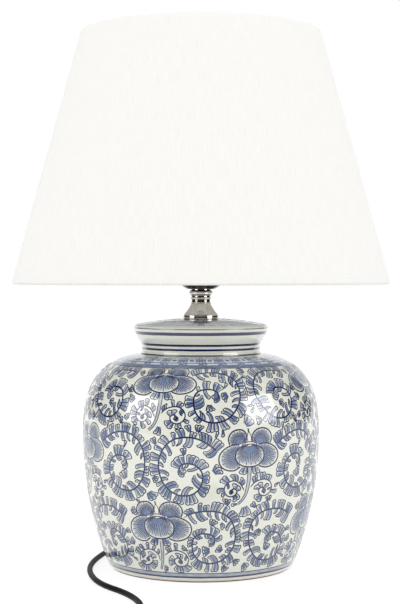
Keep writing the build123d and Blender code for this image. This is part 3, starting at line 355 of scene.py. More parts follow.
def grown(name, mesh, tree, **values):
    """The mesh a geometry tree makes of a mesh, as a plain object at the origin."""
    holder = bpy.data.objects.new(name + "_start", mesh)
    bpy.context.scene.collection.objects.link(holder)
    modifier = holder.modifiers.new("Tree", "NODES")
    modifier.node_group = tree
    for item in tree.interface.items_tree:
        if item.item_type == "SOCKET" and item.in_out == "INPUT" and item.name in values:
            modifier[item.identifier] = values[item.name]
    graph = bpy.context.evaluated_depsgraph_get()
    made = bpy.data.meshes.new_from_object(holder.evaluated_get(graph))
    holder.modifiers.remove(modifier)
    bpy.data.objects.remove(holder)
    made.name = name
    return linked(name, made)


def linked(name, mesh):
    made = bpy.data.objects.new(name, mesh)
    bpy.context.scene.collection.objects.link(made)
    return made


def outline_mesh(points):
    """Edges round closed (radius, height) points, as a turned outline."""
    mesh = bpy.data.meshes.new("outline")
    count = len(points)
    edges = [(index, (index + 1) % count) for index in range(count)]
    mesh.from_pydata([(radius, height, 0.0) for radius, height in points], edges, [])
    return mesh


def turned(name, points, segments, material):
    """Closed skin of revolution of a closed (radius, height) outline."""
    # The tree sweeps the outline round a circle of radius 1, with its Y pointing down.
    shifted = [(radius - 1.0, -height) for radius, height in points]
    made = grown(
        name, outline_mesh(shifted), trees()["turned"], Segments=segments, Material=material
    )
    face_outwards(made.data)
    return made


def face_outwards(mesh):
    """Points the faces of a closed skin away from its inside."""
    work = bmesh.new()
    work.from_mesh(mesh)
    bmesh.ops.remove_doubles(work, verts=work.verts, dist=1e-7)
    bmesh.ops.recalc_face_normals(work, faces=work.faces)
    work.to_mesh(mesh)
    work.free()


def trees():
    """The geometry trees, built once."""
    builds = {
        "turned": ("Turned about the axis", turned_tree),
        "repeat": ("Repeated round the axis", repeat_tree),
    }
    return {
        key: bpy.data.node_groups.get(name) or build() for key, (name, build) in builds.items()
    }


# ---------------------------------------------------------------- outlines read from the frame
def outer_outline(*node_names):
    """(radius, height) points up the outside of turned CAD nodes, in metres."""
    highest = {}
    for name in node_names:
        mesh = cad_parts[name].data
        verts = [vertex.co.copy() for vertex in mesh.vertices]
        bvh = BVHTree.FromPolygons(verts, [list(face.vertices) for face in mesh.polygons])
        for vertex in mesh.vertices:
            place, normal = vertex.co, vertex.normal
            # The lead's hole is at the back.
            if place.y > 0:
                continue
            radius = math.hypot(place.x, place.y)
            outward = Vector((place.x, place.y, 0)) / max(radius, 1e-9)
            if normal.dot(outward) < 0.02 and normal.z < 0.3:
                continue
            if bvh.ray_cast(place + normal * 0.0004, normal)[0] is not None:
                continue
            key = round(place.z, 5)
            highest[key] = max(highest.get(key, 0.0), radius)
    return [(radius, height) for height, radius in sorted(highest.items())]


def thinned(points, least):
    """Drops points nearer than least to the one kept before them, ends kept."""
    kept = [points[0]]
    for point in points[1:-1]:
        if math.dist(point, kept[-1]) >= least:
            kept.append(point)
    kept.append(points[-1])
    return kept


def held_straight(points):
    """Adds points on upright and level stretches, so that a smooth run keeps them straight."""
    kept = [points[0]]
    for start, end in zip(points, points[1:]):
        if min(abs(end[0] - start[0]), abs(end[1] - start[1])) < 0.02 * MM:
            if math.dist(start, end) > 2 * MM:
                for share in (0.12, 0.5, 0.88):
                    kept.append(tuple(a + (b - a) * share for a, b in zip(start, end)))
        kept.append(end)
    return kept


def smooth_run(points, spacing):
    """Even points along a smooth curve through the given ones."""
    given = np.array(points, float)
    along = np.r_[0, np.cumsum(np.linalg.norm(np.diff(given, axis=0), axis=1))]
    slopes = np.gradient(given, along, axis=0)
    count = max(2, int(round(along[-1] / spacing)) + 1)
    wanted = np.linspace(0, along[-1], count)
    spot = np.clip(np.searchsorted(along, wanted) - 1, 0, len(along) - 2)
    span = (along[spot + 1] - along[spot])[:, None]
    share = (wanted[:, None] - along[spot][:, None]) / span
    start, end = given[spot], given[spot + 1]
    out, back = slopes[spot] * span, slopes[spot + 1] * span
    return (
        (2 * share**3 - 3 * share**2 + 1) * start
        + (share**3 - 2 * share**2 + share) * out
        + (-2 * share**3 + 3 * share**2) * end
        + (share**3 - share**2) * back
    )


class Surface:
    """The outside of a turned piece as a map from angle and distance up it to a place."""

    def __init__(self, outline, lift):
        run = np.array(outline, float)
        slope = np.gradient(run, axis=0)
        slope /= np.linalg.norm(slope, axis=1)[:, None]
        self.normals = np.c_[slope[:, 1], -slope[:, 0]]
        self.run = run + self.normals * lift
        steps = np.linalg.norm(np.diff(self.run, axis=0), axis=1)
        self.along = np.r_[0, np.cumsum(steps)]

    def radius(self, along):
        return np.interp(along, self.along, self.run[:, 0])

    def height(self, along):
        return np.interp(along, self.along, self.run[:, 1])

    def at_height(self, height):
        """Distance up the surface at which it first has a height."""
        return float(np.interp(height, np.maximum.accumulate(self.run[:, 1]), self.along))

    def at_radius(self, radius):
        """Distance up the surface at which it draws in to a radius, past its widest."""
        widest = int(np.argmax(self.run[:, 0]))
        radii = self.run[widest:, 0][::-1]
        return float(np.interp(radius, radii, self.along[widest:][::-1]))

    def place(self, angle, along, lift=0.0):
        """Positions and normals for arrays of angles from the front and distances up."""
        angle, along = np.asarray(angle, float), np.asarray(along, float)
        out = np.interp(along, self.along, self.normals[:, 0])
        up = np.interp(along, self.along, self.normals[:, 1])
        size = np.hypot(out, up)
        out, up = out / size, up / size
        radius = self.radius(along) + out * lift
        height = self.height(along) + up * lift
        sine, cosine = np.sin(angle), np.cos(angle)
        places = np.stack([radius * sine, -radius * cosine, height], axis=-1)
        normals = np.stack([out * sine, -out * cosine, up], axis=-1)
        return places, normals


def glaze_outlines():
    """Smooth outsides of the jar, from above its bare foot to the lid's seat, and the lid."""
    glaze = bpy.context.scene.lamp_glaze
    lid_low, lid_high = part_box("lid")
    jar = [point for point in outer_outline(*JAR_NODES) if point[1] < lid_low.z - 0.1 * MM]
    foot_low, foot_high = jar[0], jar[1]
    share = (glaze.bare_foot - foot_low[1]) / (foot_high[1] - foot_low[1])
    start = (foot_low[0] + share * (foot_high[0] - foot_low[0]), glaze.bare_foot)
    side = [start, foot_high] + thinned(jar[2:], 1.6 * MM)
    side += [(radius, lid_low.z) for radius in LEDGE_RADII]
    lid = outer_outline("lid")
    lid[0] = (lid[0][0], lid_low.z + 0.22 * MM)
    lid.append((LID_HOLE_RADIUS, lid_high.z))
    lid = held_straight(thinned(lid, 0.5 * MM))
    return smooth_run(side, 2.0 * MM), smooth_run(lid, 0.8 * MM)


# ---------------------------------------------------------------- brushwork
class Sheet:
    """A quarter of a turned surface laid flat: X round it at a set radius, Y up it."""

    def __init__(self, surface, radius, cell=0.0005):
        self.surface = surface
        self.radius = radius
        self.width = radius * math.pi / 2
        self.columns = int(round(self.width / cell))
        self.cell = self.width / self.columns
        rows = int(surface.along[-1] / cell) + 2
        self.taken = np.zeros((self.columns, rows), bool)

    def spots(self, points):
        columns = np.floor(points[:, 0] / self.cell).astype(int) % self.columns
        rows = np.clip((points[:, 1] / self.cell).astype(int), 0, self.taken.shape[1] - 1)
        return columns, rows

    def clear(self, points):
        """How many of the points, from the first on, lie on bare ground."""
        held = self.taken[self.spots(points)]
        return int(np.argmax(held)) if held.any() else len(points)

    def claim(self, points, reach):
        """Marks the ground within reach of the points as painted."""
        steps = int(math.ceil(reach / self.cell))
        for across in range(-steps, steps + 1):
            for up in range(-steps, steps + 1):
                if math.hypot(across, up) * self.cell <= reach + self.cell * 0.3:
                    self.taken[self.spots(points + np.array([across, up]) * self.cell)] = True


class Brush:
    """Gathers closed strokes and washes on a sheet, as one mesh for a quarter turn."""

    BURIED = -0.00022
    PATCH_BURIED = -0.00035

    def __init__(self, sheet):
        self.sheet = sheet
        self.flat = []
        self.lifts = []
        self.tones = []
        self.turns = []
        self.faces = []
        self.count = 0

    def add(self, points, lifts, tones, faces, radius=None):
        points = np.asarray(points, float)
        radius = radius or self.sheet.radius
        self.flat.append(points)
        self.turns.append(points[:, 0] / radius)
        self.lifts.append(np.broadcast_to(lifts, len(points)))
        self.tones.append(np.broadcast_to(tones, len(points)))
        self.faces += [[self.count + index for index in face] for face in faces]
        self.count += len(points)

    def stroke(self, points, width, lift=LINE_LIFT, tone=0.5, radius=None, taper=0.0):
        """Three-sided bar along the points, its flat side out and its edge buried."""
        points = np.asarray(points, float)
        count = len(points)
        if count < 2:
            return
        way = np.gradient(points, axis=0)
        way /= np.maximum(np.linalg.norm(way, axis=1), 1e-9)[:, None]
        side = np.c_[-way[:, 1], way[:, 0]]
        half = np.broadcast_to(np.asarray(width, float) / 2, count).copy()
        if taper:
            share = np.linspace(0, 1, count)
            half *= np.clip(np.minimum(share, 1 - share) / taper, 0.25, 1.0)
        left, right = points + side * half[:, None], points - side * half[:, None]
        verts = np.stack([left, right, points], axis=1).reshape(-1, 2)
        lifts = np.tile([lift, lift, self.BURIED], count)
        faces = [(1, 0, 2)]
        for index in range(count - 1):
            a, b = 3 * index, 3 * index + 3
            faces += [(a + 1, b + 1, b, a), (a, b, b + 2, a + 2), (b + 1, a + 1, a + 2, b + 2)]
        last = 3 * (count - 1)
        faces.append((last, last + 1, last + 2))
        self.add(verts, lifts, tone, faces, radius)

    def wash(self, outline, middle, tones=(0.5, 0.5), rings=1, lift=WASH_LIFT, radius=None):
        """Patch of thin colour, its tone running from its middle to its edge."""
        outline, middle = np.asarray(outline, float), np.asarray(middle, float)
        if np.cross(outline, np.roll(outline, -1, axis=0)).sum() < 0:
            outline = outline[::-1]
        count = len(outline)
        levels = [middle + (outline - middle) * (ring + 1) / rings for ring in range(rings)]
        verts = np.concatenate([middle[None], *levels, middle[None]])
        shares = np.r_[0, np.repeat((np.arange(rings) + 1) / rings, count), 0] ** 0.8
        tone = tones[0] + (tones[1] - tones[0]) * shares
        lifts = np.full(len(verts), lift)
        lifts[-1] = self.PATCH_BURIED
        faces = []
        for index in range(count):
            after = (index + 1) % count
            faces.append((0, 1 + index, 1 + after))
            for ring in range(rings - 1):
                low, high = 1 + ring * count, 1 + (ring + 1) * count
                faces.append((low + index, high + index, high + after, low + after))
            edge = 1 + (rings - 1) * count
            faces.append((edge + after, edge + index, len(verts) - 1))
        self.add(verts, lifts, tone, faces, radius)

    def band(self, low, high, tone=0.5, lift=WASH_LIFT, wobble=0.0, steps=96, radius=None):
        """Ring of colour a quarter of the way round, with a slightly unsteady hand."""
        radius = radius or self.sheet.radius
        along = np.linspace(0, radius * math.pi / 2, steps + 1)
        turn = along / radius * 4
        drift = wobble * (np.sin(turn * 2 + low * 4000) + 0.6 * np.sin(turn * 5 + high * 9000))
        rows = max(1, int(round((high - low) / BAND_ROW)))
        heights = [low + (high - low) * row / rows for row in range(rows + 1)]
        verts = [np.c_[along, height + drift] for height in heights]
        verts += [np.c_[along, (low + high) / 2 + drift]]
        verts = np.concatenate(verts)
        under, top = (rows + 1) * (steps + 1), rows * (steps + 1)
        lifts = np.r_[np.full(under, lift), np.full(steps + 1, self.BURIED * 1.5)]
        faces = []
        for index in range(steps):
            for row in range(rows):
                a = row * (steps + 1) + index
                faces.append((a, a + 1, a + steps + 2, a + steps + 1))
            faces.append((index + 1, index, under + index, under + index + 1))
            faces.append((top + index, top + index + 1, under + index + 1, under + index))
        for end, flip in ((0, 1), (steps, -1)):
            rim = [row * (steps + 1) + end for row in range(rows + 1)] + [under + end]
            faces.append(tuple(rim[::-1][::flip]))
        self.add(verts, lifts, tone, faces, radius)

    def piece(self, name, material):
        """The strokes repeated round the axis, as one plain object on the lamp's base."""
        flat, turns = np.concatenate(self.flat), np.concatenate(self.turns)
        lifts, tones = np.concatenate(self.lifts), np.concatenate(self.tones)
        surface = self.sheet.surface
        along = np.clip(flat[:, 1], 0, surface.along[-1])
        places, _ = surface.place(turns, along, lifts)
        mesh = bpy.data.meshes.new(name + "_quarter")
        mesh.from_pydata(places.tolist(), [], self.faces)
        for label, values in (("tone", tones), ("along", along)):
            mesh.attributes.new(label, "FLOAT", "POINT").data.foreach_set("value", values)
        made = grown(name, mesh, trees()["repeat"], Count=4, Material=material)
        lay_out(made.data, surface.along[-1])
        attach(made, "base")
        return made


def lay_out(mesh, height):
    """Unrolls a painted mesh by angle and distance up, with its seam at the back."""
    count = len(mesh.vertices)
    places = np.empty(count * 3)
    mesh.vertices.foreach_get("co", places)
    places = places.reshape(-1, 3)
    along = np.empty(count)
    mesh.attributes["along"].data.foreach_get("value", along)
    turn = np.arctan2(places[:, 0], -places[:, 1]) / math.tau + 0.5
    corners = np.empty(len(mesh.loops), int)
    mesh.loops.foreach_get("vertex_index", corners)
    starts = np.empty(len(mesh.polygons), int)
    mesh.polygons.foreach_get("loop_start", starts)
    sizes = np.diff(np.r_[starts, len(corners)])
    across = turn[corners]
    highest = np.repeat(np.maximum.reduceat(across, starts), sizes)
    across = np.where(highest - across > 0.5, across + 1, across)
    layer = mesh.uv_layers.new(name="OFBake")
    flat = np.stack([across / 1.06, np.clip(along[corners] / height, 0, 1) * 0.998 + 0.001], axis=1)
    layer.data.foreach_set("uv", flat.ravel())


def curve_through(points, spacing):
    """Even points, spacing apart, along a smooth curve through points in millimetres."""
    return smooth_run(np.asarray(points, float) * MM, spacing)


# The brushwork's own shapes, in millimetres about each motif's middle. A spiral starts at its
# flower and winds in; "side" says which side of the flower it leaves from.
SPIRALS = {
    "middle left": [
        (31.7, 12.6), (24.1, 19.1), (18.4, 22.8), (10.8, 26.1), (4.1, 27.1), (-1.6, 26.8),
        (-7.3, 25.6), (-13.1, 22.2), (-16.9, 18.1), (-19.9, 13.1), (-21.6, 8.3), (-22.3, 2.8),
        (-21.8, -3.7), (-20.2, -9.2), (-16.9, -15), (-12.6, -19.2), (-7.3, -22.3), (-0.7, -23.6),
        (6, -22.8), (10.8, -20.3), (14.1, -16.5), (16, -12.2), (16.6, -7.2), (15.8, -3),
        (13.4, 0.6), (9.8, 3.2), (5.5, 4.4), (0.8, 4.3), (-3, 2.1), (-4.8, -1.5),
    ],
    "middle right": [
        (31.2, 15.8), (21.2, 23.3), (10.7, 28.1), (1.6, 29.6), (-8.4, 28.2), (-16.3, 23.2),
        (-20.9, 15.1), (-22.7, 4.1), (-21.3, -5.7), (-17, -14.3), (-10.8, -19.9), (-3.6, -21.8),
        (6.4, -20.3), (14, -15.3), (17.8, -7.5), (16.9, 0.8), (12.1, 6.6), (4, 9.0), (-2.2, 7.3),
        (-4.6, 2.8),
    ],
    "lower right": [
        (25.5, 18.1), (21.7, 21.1), (14.6, 23.7), (7.3, 24.8), (-1.1, 24.8), (-7.8, 23.7),
        (-13.0, 21.2), (-17.8, 17.3), (-20.9, 12.3), (-23.1, 6), (-24, 0.1), (-23.5, -5.6),
        (-22.1, -10.5), (-19.2, -15.3), (-15.0, -19.4), (-9.2, -22.6), (-2.6, -24.1), (5.1, -23.7),
        (10.6, -21.6), (14.6, -18.1), (17.2, -13.2), (17.9, -7.2), (17.1, -2), (14.6, 1.7),
        (10.1, 4), (4.4, 4.3), (-0.7, 2.9), (-3.7, 0.2), (-4.3, -3.3),
    ],
    "lower left": [
        (24.3, 15.8), (18.3, 19.6), (9.9, 22.9), (0, 23.9), (-12.0, 21.8), (-19.3, 16.3),
        (-23.2, 7.1), (-22.9, -3.3), (-18.3, -13.8), (-8.6, -22.4), (2.3, -24.6), (12.4, -22.6),
        (19.0, -16.5), (19.3, -9.3), (14.8, -2.3), (8.3, 1.4), (1.5, 2.2), (-3.2, -0.6),
    ],
    "upper right": [
        (24.9, 20.2), (18.7, 23.2), (9.6, 25.3), (-1.3, 25.3), (-9, 23.8), (-16.1, 20.2),
        (-20.4, 15.4), (-22.4, 9.7), (-22.8, 3.6), (-21.2, -4), (-17.5, -10.7), (-12.8, -16.2),
        (-7.1, -19.8), (-0.4, -21.5), (6.3, -21.4), (12.5, -19.3), (16.6, -15.8), (19.2, -11.3),
        (20.3, -5.9), (20.3, -0.5), (18.5, 3.8), (14.7, 6.4), (9.1, 7.6), (3, 7.1), (-1.3, 4.9),
        (-3.2, 1.3),
    ],
    "upper left": [
        (25.9, 23.4), (15.2, 26.0), (5.5, 26.4), (-4.5, 25.6), (-14.9, 21.4), (-21.4, 13.5),
        (-23.3, 4.5), (-18.9, -6.2), (-11.5, -14.8), (-1.5, -19.6), (7.5, -19.2), (15.7, -13.3),
        (18.8, -4.3), (15.8, 4.2), (7.8, 7.6), (0.4, 6.8), (-3.5, 2.3),
    ],
}
SCROLLS = {
    "middle": (
        [
            (-3.3, -33.9), (-5.7, -28.6), (-9.5, -23.5), (-14.3, -21.2), (-19.5, -22.6),
            (-22.9, -26.9), (-22.4, -31.9), (-18.6, -35.1), (-13.5, -34.1), (-11.5, -30.8),
            (-14.1, -28.3), (-17.2, -29.3),
        ],
        [
            (1, -27.8), (4.8, -24), (10, -21.8), (16.5, -21.6), (21.4, -24.5), (23.1, -29.3),
            (20.5, -34.2), (15.2, -36), (10.5, -33.9), (9.7, -30.3), (12.6, -28.4), (16, -30),
        ],
    ),
    "lower": (
        [
            (-2.6, -32.5), (-3.6, -27), (-7.2, -23.2), (-13.8, -21.6), (-21, -23.7), (-26, -28.8),
            (-26.6, -34.6), (-22.0, -37.2), (-14.8, -35.7), (-11.2, -31.7), (-13.8, -28.6),
            (-17.6, -29.8),
        ],
        [
            (2.4, -27.0), (8.1, -23.1), (14.8, -21.3), (21, -22.2), (25.9, -25.6), (27.6, -30.4),
            (25.2, -35), (19.5, -36.6), (14.1, -34.7), (13.1, -30.7), (17.2, -28.4), (20.6, -30.6),
        ],
    ),
}
TRUNKS = {
    "middle": [
        (-0.2, -9.8), (-0.4, -16.3), (-0.9, -22.8), (-1.8, -28.3), (-3.4, -33.9), (-6.4, -38.8),
        (-10, -42),
    ],
    "lower": [(1.4, -12.6), (1.2, -20.4), (0.6, -27.8), (-0.6, -34.1), (-2.9, -40.5)],
}
PETALS = {
    "right": [
        (8, 9.5), (15.6, 10.2), (22.8, 7.8), (27.6, 3.3), (28.6, -1.7), (26.1, -6.7), (20.4, -9.9),
        (13.7, -10.6), (8.4, -8.9),
    ],
    "left": [
        (-9.1, -9.2), (-13.9, -12.2), (-19.6, -12.3), (-25.3, -9.7), (-28, -4.7), (-27.6, 0.8),
        (-23.8, 5.8), (-17.7, 9.1), (-10.1, 10.1),
    ],
    "upper right": [
        (2.5, 11.3), (1.8, 17.0), (5.1, 21.6), (10.9, 23.5), (16.9, 22.3), (20.6, 18.3),
        (21.2, 13.8), (19.8, 10.3),
    ],
    "upper left": [
        (-18.7, 9.8), (-19.8, 14.8), (-17.7, 19.7), (-12, 22.6), (-6.5, 21.9), (-3.3, 17.6),
        (-4.4, 11.6),
    ],
}
PETAL_BASES = {"right": (9, 2), "left": (-9, 2), "upper right": (8, 10), "upper left": (-9, 10)}
# Each row: its name, height, flower's angle, its shapes' width and rise and drop against the
# middle row's, then the places of its left and right spirals.
ROWS = (
    ("middle", 113.2, 22.9, (1.0, 1.0, 1.0), (-7.9, 102.7), (51.6, 102.7)),
    ("lower", 50.4, -21.1, (1.1, 1.0, 1.12), (37.0, 41.4), (4.9, 41.4)),
    ("upper", 175.0, -19.3, (1.13, 0.86, 0.95), (39.3, 163.3), (7.3, 163.3)),
)


# How leaf groups grow, by the stem being large and the side being the outer one: their lobes'
# pitch and length, how many lobes a group has and the gap between groups, in millimetres.
GROWTH = {
    (True, True): (2.4, 6.9, (2, 3, 3, 4, 4), 1.6),
    (True, False): (2.7, 8.4, (2, 2, 3, 3), 1.9),
    (False, True): (2.0, 5.0, (2, 2, 3), 1.5),
    (False, False): (2.0, 3.6, (2, 2, 3), 1.5),
}


class ScrollPainter:
    """Lays the flowers, spirals and leaves of the jar's side out on its sheet."""

    def __init__(self, surface, radius, floor, ceiling, seed):
        self.sheet = Sheet(surface, radius)
        self.stems = Sheet(surface, radius)
        self.lines = Brush(self.sheet)
        self.leaves = Brush(self.sheet)
        self.inner = Brush(self.sheet)
        self.washes = Brush(self.sheet)
        self.reserve = Brush(self.sheet)
        self.hand = random.Random(seed)
        self.floor, self.ceiling = floor, ceiling
        rows = np.arange(self.sheet.taken.shape[1]) * self.sheet.cell
        self.sheet.taken[:, (rows < floor) | (rows > ceiling)] = True

    def jitter(self, share):
        return 1 + self.hand.uniform(-share, share)

    def spot(self, angle, height):
        surface = self.sheet.surface
        return np.array([math.radians(angle) * self.sheet.radius, surface.at_height(height * MM)])

    def trimmed(self, points):
        """The part of a path that lies between the bands."""
        keep = (points[:, 1] > self.floor) & (points[:, 1] < self.ceiling)
        return points[keep]

    def paint(self):
        paths = []
        for row, height, angle, shape, left, right in ROWS:
            middle = self.spot(angle, height)
            self.flower(middle, shape)
            for side, place, name in ((1, left, "left"), (-1, right, "right")):
                path = curve_through(SPIRALS[f"{row} {name}"], 0.0010)
                paths.append((path * (side, 1) + self.spot(*place), True))
            kind = "lower" if row == "lower" else "middle"
            for points in SCROLLS[kind]:
                paths.append((curve_through(points, 0.0008) + middle, False))
            self.trunk(curve_through(TRUNKS[kind], 0.0014) + middle)
        drawn = []
        for path, large in paths:
            taken = self.sheet.taken[self.sheet.spots(path)]
            start = int(np.argmin(taken)) if taken[0] else 0
            drawn.append((self.trimmed(path[start:]), large))
        for path, large in drawn:
            self.lines.stroke(path, (1.4 if large else 1.05) * MM, tone=0.05, taper=0.03)
            self.sheet.claim(path, 0.7 * MM)
            self.stems.claim(path, 0.6 * MM)
        for path, large in drawn:
            self.curl_end(path, large)
        for size, outer in GROWTH:
            for path, large in drawn:
                if large == size:
                    self.dress(path, large, outer)
        self.fill()

    def trunk(self, path):
        """The flower's own stem: two lines with a thin wash between."""
        path = self.trimmed(path)
        way = np.gradient(path, axis=0)
        way /= np.linalg.norm(way, axis=1)[:, None]
        side = np.c_[-way[:, 1], way[:, 0]] * np.linspace(1.7, 0.8, len(path))[:, None] * MM
        for share in (-1, 1):
            self.lines.stroke(path + side * share, 0.75 * MM, tone=0.2)
        narrowing = 2.2 * MM * np.linspace(1.0, 0.45, len(path))
        self.washes.stroke(path, narrowing, tone=0.3, lift=0.00004)
        self.sheet.claim(path, 1.9 * MM)
        self.stems.claim(path, 1.5 * MM)
        way = path[-1] - path[-3]
        heading = math.atan2(way[1], way[0])
        roots = path[-1] + np.array([(-0.9, 0.5), (-0.3, 0), (0.3, 0), (0.9, 0.5)]) * MM
        self.comb(self.leaves, roots, heading + np.linspace(-0.7, 0.7, 4), 4.4 * MM, 0.0)

    def dress(self, path, large, outer):
        """Leaf groups along one side of a stem."""
        steps = np.linalg.norm(np.diff(path, axis=0), axis=1)
        along = np.r_[0, np.cumsum(steps)]
        way = np.gradient(path, axis=0)
        way /= np.maximum(np.linalg.norm(way, axis=1), 1e-9)[:, None]
        side = np.c_[-way[:, 1], way[:, 0]]
        # The side away from the spiral's middle is the outer one.
        middle = path[len(path) // 2 :].mean(axis=0)
        if (np.sum(side * (path - middle)) > 0) != outer:
            side = -side
        turned = math.copysign(1, way[5, 0] * side[5, 1] - way[5, 1] * side[5, 0])
        brush = self.leaves if outer else self.inner
        pitch, reach, choices, gap = GROWTH[large, outer]
        pitch, reach, gap = pitch * MM, reach * MM, gap * MM
        position = (1.5 if large else 3.0) * MM
        while position < along[-1] - 2.0 * MM:
            count = self.hand.choice(choices)
            span = min(pitch * count, along[-1] - position)
            count = max(1, round(span / pitch))
            places = position + span * np.linspace(0, 1, count + 1)
            roots = np.stack([np.interp(places, along, path[:, axis]) for axis in (0, 1)], 1)
            outs = np.stack([np.interp(places, along, side[:, axis]) for axis in (0, 1)], 1)
            outs /= np.linalg.norm(outs, axis=1)[:, None]
            shares = np.linspace(-1, 1, count + 1)
            fan = self.hand.uniform(0.06, 0.2) if outer else (0.085 if large else 0.1) * count
            lean = self.hand.uniform(-0.35, 0.25) if outer else self.hand.uniform(-0.2, 0.15)
            bend = self.hand.uniform(-0.8, 0.5) if outer else self.hand.uniform(-1.0, -0.5)
            headings = np.arctan2(outs[:, 1], outs[:, 0]) - turned * (lean + shares * fan)
            size = reach * self.hand.uniform(0.9, 1.08) * (1.0 - 0.1 * shares**2)
            tips = self.comb(brush, roots + outs * 0.45 * MM, headings, size, bend * turned)
            if tips is not None and outer and large and self.hand.random() < 0.5:
                self.tuft(tips[-1 if self.hand.random() < 0.5 else 0], headings.mean())
            position += span + gap * self.jitter(0.3)

    def curl_end(self, path, large):
        """Long curved lobes where a stem ends."""
        size = 1.0 if large else 0.5
        step = np.linalg.norm(path[-1] - path[-2])
        backs = [int(share * size * MM / step) for share in (7.2, 4.8, 2.4, 0.0)]
        roots = np.array([path[-1 - back] for back in backs])
        ways = np.array([path[-1 - back] - path[-4 - back] for back in backs])
        spin = math.copysign(1, ways[0, 0] * ways[-1, 1] - ways[0, 1] * ways[-1, 0])
        headings = np.arctan2(ways[:, 1], ways[:, 0]) + spin * np.linspace(1.0, 0.25, 4)
        lengths = np.array([5.6, 7.2, 8.6, 9.6]) * size * MM
        self.comb(self.leaves, roots, headings, lengths, spin * 1.7, free=True)

    def tuft(self, root, heading, scale=1.0):
        """A small second group standing off from the end of a leaf group."""
        turns = np.linspace(-0.55, 0.55, 4)
        heading += self.hand.uniform(-0.5, 0.5)
        way = np.array([math.cos(heading), math.sin(heading)])
        side = np.array([-way[1], way[0]])
        roots = root + way * 1.1 * MM + side * np.linspace(-1.3, 1.3, 4)[:, None] * scale * MM
        bend = self.hand.uniform(-0.6, 0.6)
        self.comb(self.leaves, roots, heading + turns, 4.6 * scale * MM, bend, least=2.6)

    def comb(self, brush, roots, headings, lengths, bend, free=False, least=1.9):
        """A group of lobes side by side: walls from the stem, round heads and stripes of wash."""
        shares = np.linspace(0, 1, 6)
        lengths = np.broadcast_to(lengths, len(roots))
        if not free:
            spare = [self.room(*each, bend) for each in zip(roots, headings, lengths)]
            lengths = np.minimum(lengths, spare)
        first, last = self.longest(lengths >= least * MM)
        if last - first < 2:
            return None
        lengths = np.minimum(lengths, lengths[first:last].min() * 1.3)
        walls = []
        for root, heading, size in list(zip(roots, headings, lengths))[first:last]:
            angles = heading + bend * shares**1.4
            mean = (angles[1:] + angles[:-1]) / 2
            walk = np.c_[np.cos(mean), np.sin(mean)] * (size / 5)
            walls.append(root + np.r_[np.zeros((1, 2)), np.cumsum(walk, axis=0)])
        tone = self.hand.uniform(0.0, 0.3)
        depth = self.hand.uniform(0.62, 1.1)
        for wall in walls:
            brush.stroke(wall, 0.82 * MM * self.jitter(0.12), tone=tone)
        heads = []
        for left, right in zip(walls, walls[1:]):
            way = (left[-1] - left[-2]) + (right[-1] - right[-2])
            way /= max(np.linalg.norm(way), 1e-9)
            across = right[-1] - left[-1]
            turn = np.linspace(0, math.pi, 6)
            bulge = min(1.5 * MM, np.linalg.norm(across) * 0.62)
            head = (left[-1] + right[-1]) / 2 - across / 2 * np.cos(turn)[:, None] * 1.08
            head = head + way * np.sin(turn)[:, None] * bulge
            brush.stroke(head, 0.98 * MM * self.jitter(0.1), tone=tone * 0.6)
            mix = self.hand.uniform(0.62, 0.84)
            stripe = np.concatenate([left, (left * (1 - mix) + right * mix)[::-1]])
            self.washes.wash(stripe, (stripe[3] + stripe[-3]) / 2, tones=(depth, depth * 0.8))
            heads.append(head)
        self.sheet.claim(np.concatenate([*walls, *heads]), 1.0 * MM)
        return [wall[-1] for wall in walls]

    def longest(self, usable):
        """First and last of the longest run of usable walls."""
        best, start = (0, 0), None
        for index, good in enumerate([*usable, False]):
            if good and start is None:
                start = index
            elif not good and start is not None:
                best = max(best, (start, index), key=lambda run: run[1] - run[0])
                start = None
        return best

    def room(self, root, heading, size, bend):
        """How long a wall may grow: half way to the next stem and short of what is painted."""
        step = 0.35 * MM
        way = heading + bend * 0.35
        line = np.arange(4, int((2 * size + 1 * MM) / step))[:, None] * step
        stem = self.stems.clear(root + line * (math.cos(way), math.sin(way)))
        stem = (stem + 4) * step * 0.5 + 0.2 * MM if stem < len(line) else 2 * size
        count = int((size + 1.6 * MM) / step)
        angles = heading + bend * np.minimum(np.arange(count) * step / size, 1.0) ** 1.4
        walk = np.c_[np.cos(angles), np.sin(angles)] * step
        spots = root + np.cumsum(walk, axis=0)
        paint = (self.sheet.clear(spots[4:]) + 4) * step
        return min(stem, paint - 0.9 * MM)

    def flower(self, middle, shape):
        """A lotus: five petals hatched from its crown, a bud on top and a calyx beneath."""
        width, rise, drop = shape

        def placed(points):
            points = np.array(points, float)
            points[:, 0] *= width
            points[:, 1] *= np.where(points[:, 1] > 0, rise, drop)
            return points * MM + middle

        angles = np.linspace(0, math.tau, 49)
        power = 2 / 2.2
        central = np.c_[
            13.5 * np.sign(np.cos(angles)) * np.abs(np.cos(angles)) ** power,
            9.6 * np.sign(np.sin(angles)) * np.abs(np.sin(angles)) ** power,
        ][:-1]
        crown = np.array([-1.0, 8.4])
        shapes = [(central, crown)]
        for name, points in PETALS.items():
            smooth = smooth_run(np.array(points), 1.6)
            shapes.append((smooth, np.array(PETAL_BASES[name], float)))
